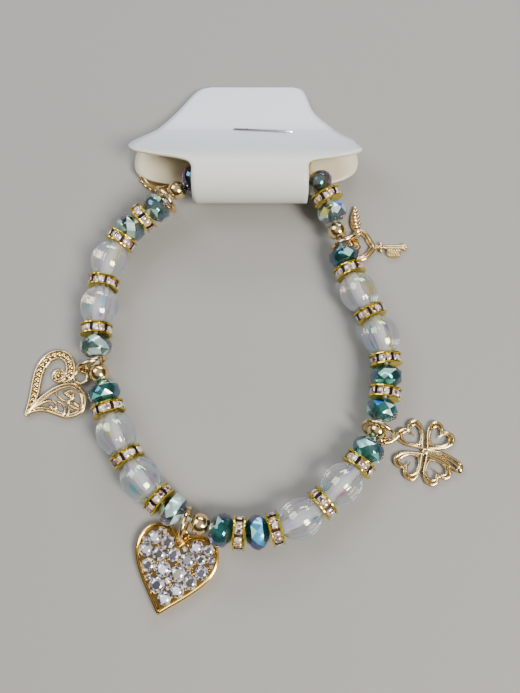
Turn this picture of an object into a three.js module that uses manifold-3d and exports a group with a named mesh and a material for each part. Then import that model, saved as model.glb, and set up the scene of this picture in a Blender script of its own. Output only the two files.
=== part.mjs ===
// Beaded stretch charm bracelet on a small folded display card.
// Millimetres, +Z up. The bracelet lies flat, and the card holds its top stretch.

import * as THREE from 'three';
import { mergeVertices } from 'three/addons/utils/BufferGeometryUtils.js';
import Module from 'manifold-3d';

const wasm = await Module();
wasm.setup();

// Bead sizes: across is the diameter, pitch the length that a bead takes on the string
const RONDELLE = { across: 6.0, length: 3.9, shoulder: 1.0, endAcross: 3.2, pitch: 4.05, sides: 8 };
const OVAL = { across: 7.0, length: 7.8, endAcross: 2.0, pitch: 7.2, sides: 10 };
const SPACER = { across: 6.0, length: 2.1, rim: 0.32, bandAcross: 5.2, hubLength: 1.2, pitch: 2.2 };
const SPACER_STONE = {
  count: 6, halfAngle: 19, tableAcross: 5.86, tableHalfWidth: 0.5, tableHalfHeight: 0.4, cornerCut: 0.58,
};
const BALL = { across: 3.6, endAcross: 1.9, pitch: 3.6, sides: 10 };
const BORE = 1.5;

// Jump rings, the slot that one takes on the string, and the eye that each charm has
const RING = { wire: 0.8, pitch: 1.45, arcSteps: 14, wireSides: 6 };
const EYE = { wire: 0.56, arcSteps: 10, wireSides: 5 };

// Elastic thread, with its knot beside the last hidden bead
const THREAD = {
  across: 0.7, sides: 6, knotAcross: 1.1, knotPitch: 1.2, intoKnot: 0.04, straightShare: 0.45,
};

// Order of the beads, anticlockwise seen from above, starting in the card's left notch:
// t rondelle, o oval, s rhinestone spacer, b gold ball, r a jump ring's slot, k the knot.
// The card hides the last four beads and the knot. The first two of those turn the string's
// tightest bend, with more room. The first bead starts a little before the route's first point.
const SHOWN_SEQUENCE = 'tbrtstsosostrbtsosostrbtstsosostbtstsosostrbtst';
const HIDDEN_SEQUENCE = 'sosok';
const SEQUENCE = SHOWN_SEQUENCE + HIDDEN_SEQUENCE;
const BEND = { beads: 2, room: 0.65 };
const STRING_START = -3.1;

// Route of the string's centre line. The ovals carry it at half their thickness.
const LIE = OVAL.across / 2;
const CARD_LIFT = 6.4;
const ROUTE = [
  { x: -14.0, y: 31.5, z: CARD_LIFT },
  { x: -19.7, y: 26.9, z: 5.4 },
  { x: -25.0, y: 23.0, z: 4.4 },
  { x: -28.8, y: 17.0, z: LIE },
  { x: -30.5, y: 6.4, z: LIE },
  { x: -30.4, y: -2.2, z: LIE },
  { x: -28.2, y: -10.3, z: LIE },
  { x: -25.6, y: -17.5, z: LIE },
  { x: -20.6, y: -25.4, z: LIE },
  { x: -14.4, y: -30.7, z: LIE },
  { x: -7.0, y: -33.6, z: LIE },
  { x: -0.2, y: -34.0, z: LIE },
  { x: 7.3, y: -31.6, z: LIE },
  { x: 14.2, y: -26.0, z: LIE },
  { x: 19.6, y: -19.4, z: LIE },
  { x: 22.3, y: -12.2, z: LIE },
  { x: 23.3, y: -5.0, z: LIE },
  { x: 22.4, y: 1.7, z: LIE },
  { x: 18.9, y: 9.6, z: LIE },
  { x: 16.2, y: 17.6, z: LIE },
  { x: 14.2, y: 25.2, z: 5.0 },
  { x: 12.4, y: 29.9, z: 6.25 },
  { x: 9.2, y: 33.1, z: CARD_LIFT },
  { x: -1.0, y: 33.1, z: CARD_LIFT },
  { x: -10.6, y: 32.6, z: CARD_LIFT },
];

// Where each charm's jump ring sits: shift is outward from the thread, heading is the outward
// direction, height is the ring's centre, lean tips the ring, and link is how far down the
// ring from its outermost point the charm's eye hangs. The fourth ring lies round its ball.
const CHARM_RINGS = [
  { radius: 2.7, eye: 0.95, shift: 0.7, heading: 129, height: 4.4, lean: 0, link: 64 },
  { radius: 2.7, eye: 0.95, shift: 1.2, heading: 203, height: 3.1, lean: -8, link: 45 },
  { radius: 2.7, eye: 0.95, shift: 1.0, heading: 254, height: 3.1, lean: 0, link: 45 },
  { radius: 2.85, eye: 0.78, shift: 0.28, heading: -28, height: 3.35, lean: -17, link: 52 },
  { radius: 2.7, eye: 0.95, shift: 1.2, heading: 24, height: 3.1, lean: 8, link: 45 },
];

// Charm sizes
const DISC = { across: 9.0, thick: 1.1, scallops: 20, scallopDepth: 0.25, neck: 2.6 };
const PAVE = { halfWidth: 7.4, lobeRise: 2.7, drop: 11.9, base: 1.1, rim: 0.85, rimRise: 0.45, neck: 1.3 };
const PAVE_STONES = {
  pitch: 1.95, rowPitch: 1.716, firstRow: 1.3, across: 1.7, tableShare: 0.55, rise: 0.35, margin: 1.15,
};
const FILIGREE = {
  thick: 1.1, band: 1.5, wire: 0.5, grain: 0.7, grainRise: 0.25, grainPitch: 1.25,
  place: { x: -0.4, y: -1.9 },
};
const CLOVER = { leaf: 6.1, wire: 0.85, thick: 1.0, stemWire: 0.6 };
const KEY = { thick: 1.0, wire: 0.8, shaftWire: 1.1 };

// How far a raised detail reaches into what carries it
const SUNK = 0.2;

// Folded card: a sheet bent round the beads, its two panels stapled together beyond them
const CARD = {
  thick: 0.5, foldRadius: 4.5, foldAxis: { y: 32.3, z: 6.5 }, middle: -1.9, foldHalfWidth: 11.1,
};

const TURN = Math.PI * 2;
const rad = THREE.MathUtils.degToRad;

// Materials
const metal = (color, roughness) => new THREE.MeshStandardMaterial({ color, roughness, metalness: 1 });
const glass = (color, roughness) => new THREE.MeshStandardMaterial({ color, roughness, metalness: 0 });
const FINISH = {
  teal: glass(0x4f7f84, 0.08),
  clear: glass(0xdfe3ea, 0.1),
  yellowGold: metal(0xd8b23c, 0.25),
  paleGold: metal(0xd9bd84, 0.22),
  elastic: glass(0xe6e6e2, 0.5),
  card: glass(0xd4dae0, 0.6),
};

// A closed geometry as a manifold solid, and back
function solid(geometry) {
  const bare = geometry.clone();
  bare.deleteAttribute('normal');
  bare.deleteAttribute('uv');
  const merged = mergeVertices(bare, 1e-4);
  const mesh = new wasm.Mesh({
    numProp: 3,
    vertProperties: new Float32Array(merged.attributes.position.array),
    triVerts: new Uint32Array(merged.index.array),
  });
  return new wasm.Manifold(mesh);
}

function geometryOf(body) {
  const mesh = body.getMesh();
  const geometry = new THREE.BufferGeometry();
  geometry.setAttribute('position', new THREE.BufferAttribute(new Float32Array(mesh.vertProperties), 3));
  geometry.setIndex(new THREE.BufferAttribute(new Uint32Array(mesh.triVerts), 1));
  geometry.computeVertexNormals();
  return geometry;
}

const fuse = (geometries) => geometries.map(solid).reduce((whole, part) => whole.add(part));

// A geometry from named vertices and faces with three or more corners
function facetedGeometry(vertices, faces) {
  const index = [];
  for (const face of faces) {
    for (let k = 1; k < face.length - 1; k += 1) index.push(face[0], face[k], face[k + 1]);
  }
  const geometry = new THREE.BufferGeometry();
  const positions = new Float32Array(vertices.flatMap((v) => [v.x, v.y, v.z]));
  geometry.setAttribute('position', new THREE.BufferAttribute(positions, 3));
  geometry.setIndex(index);
  geometry.computeVertexNormals();
  return geometry;
}

// A drilled bead about the Z axis from rows of points that close on themselves.
// A row with stagger 0.5 sits between the points of its neighbours, which makes cut facets.
function drilledBead(rows, sides) {
  const vertices = [];
  const faces = [];
  rows.forEach((row, k) => {
    const next = (k + 1) % rows.length;
    for (let i = 0; i < sides; i += 1) {
      const angle = ((i + row.stagger) / sides) * TURN;
      const radius = row.across / 2;
      vertices.push(new THREE.Vector3(radius * Math.cos(angle), radius * Math.sin(angle), row.z));
      const j = (i + 1) % sides;
      const [a, b, c, d] = [k * sides + i, k * sides + j, next * sides + i, next * sides + j];
      if (row.stagger > rows[next].stagger) faces.push([a, b, d], [a, d, c]);
      else faces.push([a, b, c], [b, d, c]);
    }
  });
  return facetedGeometry(vertices, faces);
}

// Cut rondelle: flat diamonds stand across the girdle, with triangles between them to each end
function rondelleGeometry() {
  const { across, length, shoulder, endAcross, sides } = RONDELLE;
  const shoulderAcross = across * Math.cos(Math.PI / sides);
  const rows = [
    { across: BORE, z: length / 2, stagger: 0 },
    { across: BORE, z: -length / 2, stagger: 0 },
    { across: endAcross, z: -length / 2, stagger: 0 },
    { across: shoulderAcross, z: -shoulder, stagger: 0.5 },
    { across, z: 0, stagger: 0 },
    { across: shoulderAcross, z: shoulder, stagger: 0.5 },
    { across: endAcross, z: length / 2, stagger: 0 },
  ];
  return drilledBead(rows, sides);
}

// Round beads: an ellipse between the two flat ends
function roundBeadGeometry({ across, length, endAcross, sides }, bands) {
  const reach = Math.acos(endAcross / across);
  const halfLength = length / 2 / Math.sin(reach);
  const rows = [{ across: BORE, z: length / 2, stagger: 0 }, { across: BORE, z: -length / 2, stagger: 0 }];
  for (let k = 0; k <= bands; k += 1) {
    const angle = -reach + (2 * reach * k) / bands;
    rows.push({ across: across * Math.cos(angle), z: halfLength * Math.sin(angle), stagger: 0 });
  }
  return drilledBead(rows, sides);
}

// Rhinestone spacer: two rims, a dished face and drilled hub on each side, and between the rims
// a ring of cut stones, each with a table and eight facets, fused to the band
function spacerGeometry() {
  const { across, length, rim, bandAcross, hubLength } = SPACER;
  const { count, halfAngle, tableAcross, tableHalfWidth: w, tableHalfHeight: h, cornerCut } = SPACER_STONE;
  const vertices = [];
  const faces = [];
  const bandHalf = length / 2 - rim;
  const point = (radius, angle, z) => {
    vertices.push(new THREE.Vector3(radius * Math.cos(angle), radius * Math.sin(angle), z));
    return vertices.length - 1;
  };
  const row = (radius, z, angleOf, points) => {
    return Array.from({ length: points }, (_, i) => point(radius, angleOf(i), z));
  };
  const even = (i) => ((i + 0.5) / (2 * count)) * TURN;
  const beside = (i) => (Math.floor((i + 1) / 2) / count) * TURN + rad(i % 2 ? -halfAngle : halfAngle);
  const bore = (i) => ((i + 0.5) / count) * TURN;
  const sides = [1, -1].map((s) => ({
    hub: row(BORE / 2, (s * hubLength) / 2, bore, count),
    face: row(across / 2, (s * length) / 2, even, 2 * count),
    shoulder: row(across / 2, s * bandHalf, even, 2 * count),
    band: row(bandAcross / 2, s * bandHalf, beside, 2 * count),
  }));
  const quad = (s, a, b, c, d) => faces.push(s > 0 ? [a, b, c, d] : [d, c, b, a]);
  const tri = (s, a, b, c) => faces.push(s > 0 ? [a, b, c] : [c, b, a]);
  sides.forEach(({ hub, face, shoulder, band }, k) => {
    const s = k ? -1 : 1;
    for (let i = 0; i < 2 * count; i += 1) {
      const j = (i + 1) % (2 * count);
      quad(s, shoulder[i], shoulder[j], face[j], face[i]);
      quad(s, band[i], band[j], shoulder[j], shoulder[i]);
      if (i % 2) tri(s, hub[(i - 1) / 2], face[i], hub[((i + 1) / 2) % count]);
      if (i % 2) tri(s, face[i], face[j], hub[((i + 1) / 2) % count]);
      else tri(s, face[i], face[j], hub[i / 2]);
    }
  });
  const [top, low] = sides;
  for (let g = 0; g < count; g += 1) {
    const next = (g + 1) % count;
    faces.push([top.hub[g], top.hub[next], low.hub[next], low.hub[g]]);
    const [from, to] = [2 * g, 2 * g + 1];
    faces.push([low.band[from], low.band[to], top.band[to], top.band[from]]);
    const [right, left] = [(2 * g + 2 * count - 1) % (2 * count), 2 * g];
    const corners = [low.band[right], low.band[left], top.band[left], top.band[right]];
    const turn = (g / count) * TURN;
    const [cutW, cutH] = [w * cornerCut, h * cornerCut];
    const outline = [
      [-cutW, -h], [cutW, -h], [w, -cutH], [w, cutH], [cutW, h], [-cutW, h], [-w, cutH], [-w, -cutH],
    ];
    const table = outline.map(([u, v]) => {
      const radius = Math.hypot(tableAcross / 2, u);
      return point(radius, turn + Math.atan2(u, tableAcross / 2), v);
    });
    faces.push(table);
    for (let c = 0; c < 4; c += 1) {
      const after = (c + 1) % 4;
      faces.push([corners[c], corners[after], table[2 * c + 1], table[2 * c]]);
      faces.push([corners[after], table[(2 * c + 2) % 8], table[2 * c + 1]]);
    }
  }
  return facetedGeometry(vertices, faces);
}

// Beads
const ballShape = { ...BALL, length: Math.sqrt(BALL.across ** 2 - BALL.endAcross ** 2) };
const BEADS = {
  t: { name: 'rondelle', geometry: rondelleGeometry(), material: FINISH.teal },
  o: { name: 'oval', geometry: roundBeadGeometry(OVAL, 5), material: FINISH.clear },
  s: { name: 'spacer', geometry: spacerGeometry(), material: FINISH.yellowGold },
  b: { name: 'ball', geometry: roundBeadGeometry(ballShape, 4), material: FINISH.paleGold },
};

// Where the beads lie on the route: centre and direction of each, and the slots for rings
const PITCH = {
  t: RONDELLE.pitch, o: OVAL.pitch, s: SPACER.pitch, b: BALL.pitch, r: RING.pitch, k: THREAD.knotPitch,
};
const routeCurve = new THREE.CatmullRomCurve3(
  ROUTE.map(({ x, y, z }) => new THREE.Vector3(x, y, z)), true, 'centripetal',
);
routeCurve.arcLengthDivisions = 1200;
const routeLength = routeCurve.getLength();

const onLoop = (distance) => (((distance / routeLength) % 1) + 1) % 1;

function placesOnString() {
  const taken = [...SEQUENCE].reduce((sum, kind) => sum + PITCH[kind], 0);
  const room = (routeLength - taken - BEND.beads * BEND.room) / SEQUENCE.length;
  let along = STRING_START;
  return [...SEQUENCE].map((kind, i) => {
    const pastShown = i - SHOWN_SEQUENCE.length;
    if (pastShown >= 0 && pastShown < BEND.beads) along += BEND.room;
    const middle = along + PITCH[kind] / 2;
    along += PITCH[kind] + room;
    return { kind, centre: routeCurve.getPointAt(onLoop(middle)) };
  });
}

const places = placesOnString();
const beadPlaces = places.filter(({ kind }) => kind in BEADS);
beadPlaces.forEach((place, i) => {
  const before = beadPlaces[(i + beadPlaces.length - 1) % beadPlaces.length];
  const after = beadPlaces[(i + 1) % beadPlaces.length];
  const arriving = place.centre.clone().sub(before.centre).normalize();
  const leaving = after.centre.clone().sub(place.centre).normalize();
  place.direction = arriving.add(leaving).normalize();
});

const group = new THREE.Group();
function addPiece(name, geometry, material) {
  const mesh = new THREE.Mesh(geometry, material);
  mesh.name = name;
  group.add(mesh);
  return mesh;
}

const counts = { t: 0, o: 0, s: 0, b: 0 };
const UP = new THREE.Vector3(0, 0, 1);
for (const { kind, centre, direction } of beadPlaces) {
  counts[kind] += 1;
  const { name, geometry, material } = BEADS[kind];
  const bead = addPiece(`${name}_${counts[kind]}`, geometry, material);
  bead.position.copy(centre);
  bead.quaternion.setFromUnitVectors(UP, direction);
}

// Elastic thread: one loop, straight through every bore, its ends meeting in a small knot
function threadGeometry() {
  const { across, sides, knotAcross, intoKnot, straightShare } = THREAD;
  const [first, last] = [beadPlaces[0], beadPlaces[beadPlaces.length - 1]];
  const knotAt = places[places.length - 1].centre;
  const stops = [knotAt.clone().lerp(first.centre, intoKnot)];
  for (const { kind, centre, direction } of beadPlaces) {
    const reach = straightShare * PITCH[kind];
    const along = kind === 's' ? [0] : [-reach, reach];
    for (const distance of along) stops.push(centre.clone().addScaledVector(direction, distance));
  }
  stops.push(knotAt.clone().lerp(last.centre, intoKnot));
  const path = new THREE.CatmullRomCurve3(stops, false, 'centripetal');
  path.getUtoTmapping = (u) => u;
  const section = new THREE.Shape();
  for (let i = 0; i < sides; i += 1) {
    const angle = (i / sides) * TURN;
    const [x, y] = [(across / 2) * Math.cos(angle), (across / 2) * Math.sin(angle)];
    if (i === 0) section.moveTo(x, y);
    else section.lineTo(x, y);
  }
  const tube = new THREE.ExtrudeGeometry(section, {
    steps: stops.length - 1, extrudePath: path, bevelEnabled: false,
  });
  const knot = new THREE.IcosahedronGeometry(knotAcross / 2, 1);
  knot.translate(knotAt.x, knotAt.y, knotAt.z);
  return geometryOf(fuse([tube, knot]));
}
addPiece('elastic_thread', threadGeometry(), FINISH.elastic);

// Jump rings. Each ring's frame: outward and rise span its plane, centre is its middle.
function ringFrame({ shift, heading, height, lean }, around) {
  const outward = new THREE.Vector3(Math.cos(rad(heading)), Math.sin(rad(heading)), 0);
  const across = new THREE.Vector3(-outward.y, outward.x, 0);
  const rise = UP.clone().multiplyScalar(Math.cos(rad(lean))).addScaledVector(across, -Math.sin(rad(lean)));
  const centre = around.clone().addScaledVector(outward, shift);
  centre.z = height;
  return { centre, outward, rise };
}

function torusInFrame(radius, { wire, arcSteps, wireSides }, centre, first, second) {
  const geometry = new THREE.TorusGeometry(radius, wire / 2, wireSides, arcSteps);
  const normal = first.clone().cross(second);
  const frame = new THREE.Matrix4().makeBasis(first, second, normal).setPosition(centre);
  return geometry.applyMatrix4(frame);
}

// The eye of the charm, linked through its ring, and its far side, where the charm starts
function eyeOn({ centre, outward, rise }, { radius, eye, link }) {
  const [cos, sin] = [Math.cos(rad(link)), Math.sin(rad(link))];
  const away = outward.clone().multiplyScalar(cos).addScaledVector(rise, -sin);
  const tangent = outward.clone().multiplyScalar(sin).addScaledVector(rise, cos);
  const side = tangent.clone().cross(away).normalize();
  const middle = centre.clone().addScaledVector(away, radius);
  return {
    geometry: torusInFrame(eye, EYE, middle, away, side),
    farSide: middle.clone().addScaledVector(away, eye),
  };
}

const ringSpots = places.filter(({ kind }) => kind === 'r').map(({ centre }) => centre);
const fourthBall = beadPlaces.filter(({ kind }) => kind === 'b')[3].centre;
const ringCentres = [ringSpots[0], ringSpots[1], ringSpots[2], fourthBall, ringSpots[3]];
const ringFrames = CHARM_RINGS.map((ring, i) => ringFrame(ring, ringCentres[i]));
ringFrames.forEach(({ centre, outward, rise }, i) => {
  const geometry = torusInFrame(CHARM_RINGS[i].radius, RING, centre, outward, rise);
  addPiece(`jump_ring_${i + 1}`, geometry, FINISH.paleGold);
});

// Flat charm parts, drawn in the plane with +y towards the eye
const flat = (points) => new THREE.Shape(points.map(([x, y]) => new THREE.Vector2(x, y)));
function slab(shape, low, high) {
  const geometry = new THREE.ExtrudeGeometry(shape, {
    depth: high - low, bevelEnabled: false, curveSegments: 5,
  });
  return geometry.translate(0, 0, low);
}

// A strip of even width along a smooth line through the points given
function strip(points, width, low, high, steps) {
  const line = new THREE.SplineCurve(points.map(([x, y]) => new THREE.Vector2(x, y)));
  const left = [];
  const right = [];
  for (let k = 0; k <= steps; k += 1) {
    const at = line.getPointAt(k / steps);
    const along = line.getTangentAt(k / steps);
    const aside = new THREE.Vector2(-along.y, along.x).multiplyScalar(width / 2);
    left.push(at.clone().add(aside));
    right.push(at.clone().sub(aside));
  }
  return slab(new THREE.Shape([...right, ...left.reverse()]), low, high);
}

function button([x, y], across, low, high, sides, topShare = 1) {
  const geometry = new THREE.CylinderGeometry((across / 2) * topShare, across / 2, high - low, sides);
  return geometry.rotateX(Math.PI / 2).translate(x, y, (low + high) / 2);
}

// Turns a charm that is drawn downwards from its eye, and seats it at the eye's far side
function hang(parts, { farSide, geometry: eye }, turn) {
  const placed = parts.map((part) => part.rotateZ(rad(turn)).translate(farSide.x, farSide.y, 0));
  return geometryOf(fuse([...placed, eye]));
}

// Round disc charm with a scalloped edge
function discParts() {
  const { across, thick, scallops, scallopDepth, neck } = DISC;
  const edge = [];
  for (let i = 0; i < 2 * scallops; i += 1) {
    const radius = across / 2 - (i % 2 ? scallopDepth : 0);
    const angle = (i / (2 * scallops)) * TURN;
    edge.push([radius * Math.cos(angle), radius * Math.sin(angle) - neck - across / 2]);
  }
  const tab = flat([[-0.45, 0], [-0.45, -neck - 0.6], [0.45, -neck - 0.6], [0.45, 0]]);
  return [slab(flat(edge), 0, thick), slab(tab, 0, thick)];
}

// Heart outline from the cleft down, shrunk inwards for rims by scaling about its middle
function heartShape({ halfWidth: w, lobeRise: r, drop: d }, top) {
  const shape = new THREE.Shape();
  shape.moveTo(0, top);
  shape.bezierCurveTo(-0.07 * w, top + 0.65 * r, -0.27 * w, top + r, -0.53 * w, top + r);
  shape.bezierCurveTo(-0.83 * w, top + r, -w, top + 0.3 * r, -w, top - 0.6 * r);
  shape.bezierCurveTo(-w, top - 0.42 * d, -0.4 * w, top - 0.72 * d, 0, top - d);
  shape.bezierCurveTo(0.4 * w, top - 0.72 * d, w, top - 0.42 * d, w, top - 0.6 * r);
  shape.bezierCurveTo(w, top + 0.3 * r, 0.83 * w, top + r, 0.53 * w, top + r);
  shape.bezierCurveTo(0.27 * w, top + r, 0.07 * w, top + 0.65 * r, 0, top);
  return shape;
}

const insetHeart = ({ halfWidth, lobeRise, drop }, inset) => ({
  halfWidth: halfWidth - inset,
  lobeRise: lobeRise - inset * 0.35,
  drop: drop - inset * 2.1,
});

function insideOutline(points, x, y) {
  let inside = false;
  points.forEach((a, i) => {
    const b = points[(i + 1) % points.length];
    if (a.y > y !== b.y > y && x < ((b.x - a.x) * (y - a.y)) / (b.y - a.y) + a.x) inside = !inside;
  });
  return inside;
}

// Pavé heart: a plate with a raised rim and a field of cut stones set close
function paveParts() {
  const { base, rim, rimRise, neck } = PAVE;
  const { pitch, rowPitch, firstRow, across, tableShare, rise, margin } = PAVE_STONES;
  const top = -neck;
  const outline = heartShape(PAVE, top);
  const field = insetHeart(PAVE, rim);
  const rimShape = heartShape(PAVE, top);
  rimShape.holes.push(heartShape(field, top - rim * 0.9));
  const parts = [slab(outline, 0, base), slab(rimShape, base - SUNK, base + rimRise)];
  const room = heartShape(insetHeart(PAVE, rim + margin), top - (rim + margin) * 0.95).getPoints(8);
  const rows = Math.ceil((PAVE.drop + PAVE.lobeRise) / rowPitch);
  for (let row = 0; row < rows; row += 1) {
    const y = top + PAVE.lobeRise - firstRow - row * rowPitch;
    for (let column = -5; column <= 5; column += 1) {
      const x = (column + (row % 2 ? 0.5 : 0)) * pitch;
      if (!insideOutline(room, x, y)) continue;
      parts.push(button([x, y], across, base - SUNK, base + rise, 8, tableShare));
    }
  }
  parts.push(slab(flat([[-0.5, 0], [-0.5, top - 1.2], [0.5, top - 1.2], [0.5, 0]]), 0, base));
  return parts;
}

// Filigree heart: a grained band round one lobe, and an openwork leaf of scrolls for the other.
// Its lines are drawn as the charm lies, with the tip at the lower left, and set below the eye.
const BAND_LINE = [
  [-9.4, -6.4], [-8.6, -2.6], [-8.4, 0.4], [-7.9, 2.8], [-6.8, 4.5], [-5.3, 5.4], [-3.7, 5.4], [-2.4, 4.4],
  [-1.8, 2.7], [-2.4, 1.3], [-4.0, 1.1],
];
const LEAF_LINE = [
  [-9.4, -6.4], [-7.3, -3.7], [-5.8, -2.1], [-3.8, -1.0], [-1.9, -0.6], [-0.2, -0.9], [1.1, -2.0],
  [1.6, -3.6], [1.3, -5.1], [0.5, -6.1], [-1.2, -6.7], [-3.3, -6.5], [-5.0, -5.8], [-6.8, -5.5], [-9.2, -6.4],
];
const SCROLL_LINES = [
  [
    [1.4, -4.7], [0.1, -5.3], [-1.7, -4.9], [-2.4, -3.5], [-1.6, -2.4], [-0.4, -2.7], [-0.3, -3.7],
    [-1.1, -3.9],
  ],
  [[-5.9, -2.1], [-5.0, -3.0], [-3.9, -3.0], [-3.6, -2.2], [-4.2, -1.8]],
  [[-6.7, -5.5], [-6.0, -4.2], [-4.9, -4.2], [-4.5, -5.0], [-5.1, -5.4]],
  [[-2.3, -4.0], [-3.6, -4.4], [-4.0, -5.4], [-3.1, -6.5]],
];
function filigreeParts() {
  const { thick, band, wire, grain, grainRise, grainPitch, place } = FILIGREE;
  const parts = [strip(BAND_LINE, band, 0, thick, 22)];
  const line = new THREE.SplineCurve(BAND_LINE.map(([x, y]) => new THREE.Vector2(x, y)));
  const grains = Math.floor(line.getLength() / grainPitch);
  for (let k = 1; k < grains; k += 1) {
    const { x, y } = line.getPointAt(k / grains);
    parts.push(button([x, y], grain, thick - SUNK, thick + grainRise, 6, 0.5));
  }
  parts.push(button(BAND_LINE[BAND_LINE.length - 1], band * 1.3, 0, thick + grainRise, 10, 0.8));
  parts.push(button(LEAF_LINE[0], band, 0, thick, 8));
  parts.push(strip(LEAF_LINE, wire * 1.3, 0, thick, 22));
  for (const scroll of SCROLL_LINES) parts.push(strip(scroll, wire, 0.1, thick - 0.1, 8));
  for (const part of parts) part.translate(place.x, place.y, 0);
  parts.push(strip([[0, 0], [-0.3, -1.2], [-0.7, -2.9]], 0.7, 0, thick, 3));
  return parts;
}

// Clover: four open heart leaves round a centre, and a twin-wire stem with a cap
const CLOVER_CENTRE = [7.4, -1.45];
const LEAF_HEADINGS = [127, 48, 211, 297];
const STEM_LINES = [
  [[0.2, -0.1], [3.0, -0.2], [5.0, -1.2], [6.2, -3.0]],
  [[0.2, -0.2], [2.6, -0.9], [4.3, -2.0], [5.8, -3.6]],
];
function leafShape(length) {
  const shape = new THREE.Shape();
  const w = length * 0.44;
  shape.moveTo(0.35, 0);
  shape.bezierCurveTo(length * 0.3, -w * 0.35, length * 0.45, -w, length * 0.78, -w);
  shape.bezierCurveTo(length * 1.02, -w, length * 1.04, -w * 0.2, length * 0.84, 0);
  shape.bezierCurveTo(length * 1.04, w * 0.2, length * 1.02, w, length * 0.78, w);
  shape.bezierCurveTo(length * 0.45, w, length * 0.3, w * 0.35, 0.35, 0);
  return shape;
}

function leafHole(length, wire) {
  const [w, tip] = [length * 0.44 - wire, length - wire * 0.8];
  const hole = new THREE.Path();
  hole.moveTo(wire * 1.9, 0);
  hole.bezierCurveTo(tip * 0.4, -w * 0.3, tip * 0.5, -w, tip * 0.79, -w);
  hole.bezierCurveTo(tip * 0.99, -w, tip * 0.98, -w * 0.35, tip * 0.78, 0);
  hole.bezierCurveTo(tip * 0.98, w * 0.35, tip * 0.99, w, tip * 0.79, w);
  hole.bezierCurveTo(tip * 0.5, w, tip * 0.4, w * 0.3, wire * 1.9, 0);
  return hole;
}

function cloverParts() {
  const { leaf, wire, thick, stemWire } = CLOVER;
  const parts = LEAF_HEADINGS.map((heading) => {
    const shape = leafShape(leaf);
    shape.holes.push(leafHole(leaf, wire));
    return slab(shape, 0, thick).rotateZ(rad(heading));
  });
  parts.push(button([0, 0], 1.6, 0, thick, 8));
  for (const line of STEM_LINES) parts.push(strip(line, stemWire, 0.05, thick + 0.1, 6));
  parts.push(button([6.1, -3.4], 1.5, 0, thick + 0.15, 8));
  const [x, y] = CLOVER_CENTRE;
  for (const part of parts) part.translate(x, y, 0);
  parts.push(strip([[0.1, -0.1], [1.3, 0.2], [2.7, 1.3]], 0.7, 0, thick, 3));
  return parts;
}

// Key: an open heart bow, a collar, a shaft with two teeth and an end knob, and a small wing
const KEY_BOW = { halfWidth: 3.2, lobeRise: 1.1, drop: 3.6 };
const KEY_AXIS = { x: 0.55, y: -0.8, turn: -5 };
const KEY_TEETH = { at: [6.7, 8.1], width: 0.8, drop: 2.3 };
const WING = [
  [0.2, 1.6], [1.2, 2.0], [0.9, 3.0], [1.4, 3.5], [1.1, 4.2], [1.7, 4.8], [1.2, 5.4], [1.5, 6.1], [0.9, 6.7],
  [0.6, 7.9], [-0.1, 6.2], [-0.5, 4.2],
];
function keyParts() {
  const { thick, wire, shaftWire } = KEY;
  const bow = heartShape(KEY_BOW, 0);
  bow.holes.push(heartShape(insetHeart(KEY_BOW, wire), -wire * 1.1));
  const middle = shaftWire / 2;
  const rod = (from, to, across) => {
    const bar = new THREE.CylinderGeometry(across / 2, across / 2, to - from, 8).rotateZ(Math.PI / 2);
    return bar.translate((from + to) / 2, 0, middle);
  };
  const parts = [slab(bow, 0, thick).rotateZ(Math.PI / 2)];
  parts.push(rod(3.2, 9.5, shaftWire * 0.75), rod(4.2, 4.9, shaftWire), rod(9.1, 9.9, shaftWire));
  for (const at of KEY_TEETH.at) {
    const to = at + KEY_TEETH.width;
    const tooth = flat([[at, 0], [at, -KEY_TEETH.drop], [to, -KEY_TEETH.drop], [to, 0]]);
    parts.push(slab(tooth, 0.15, thick - 0.15));
  }
  for (const part of parts) part.rotateZ(rad(KEY_AXIS.turn)).translate(KEY_AXIS.x, KEY_AXIS.y, 0);
  parts.push(slab(flat(WING), 0, thick * 0.8));
  parts.push(strip([[0.12, -0.1], [0.5, -0.5], [1.0, -1.0]], 0.6, 0, thick * 0.8, 3));
  return parts;
}

const eyes = ringFrames.map((frame, i) => eyeOn(frame, CHARM_RINGS[i]));
addPiece('disc_charm', hang(discParts(), eyes[0], 190), FINISH.paleGold);
addPiece('filigree_heart', hang(filigreeParts(), eyes[1], 0), FINISH.paleGold);
addPiece('pave_heart', hang(paveParts(), eyes[2], -17), FINISH.yellowGold);
addPiece('clover', hang(cloverParts(), eyes[3], 0), FINISH.paleGold);
addPiece('heart_key', hang(keyParts(), eyes[4], 0), FINISH.paleGold);

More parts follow.
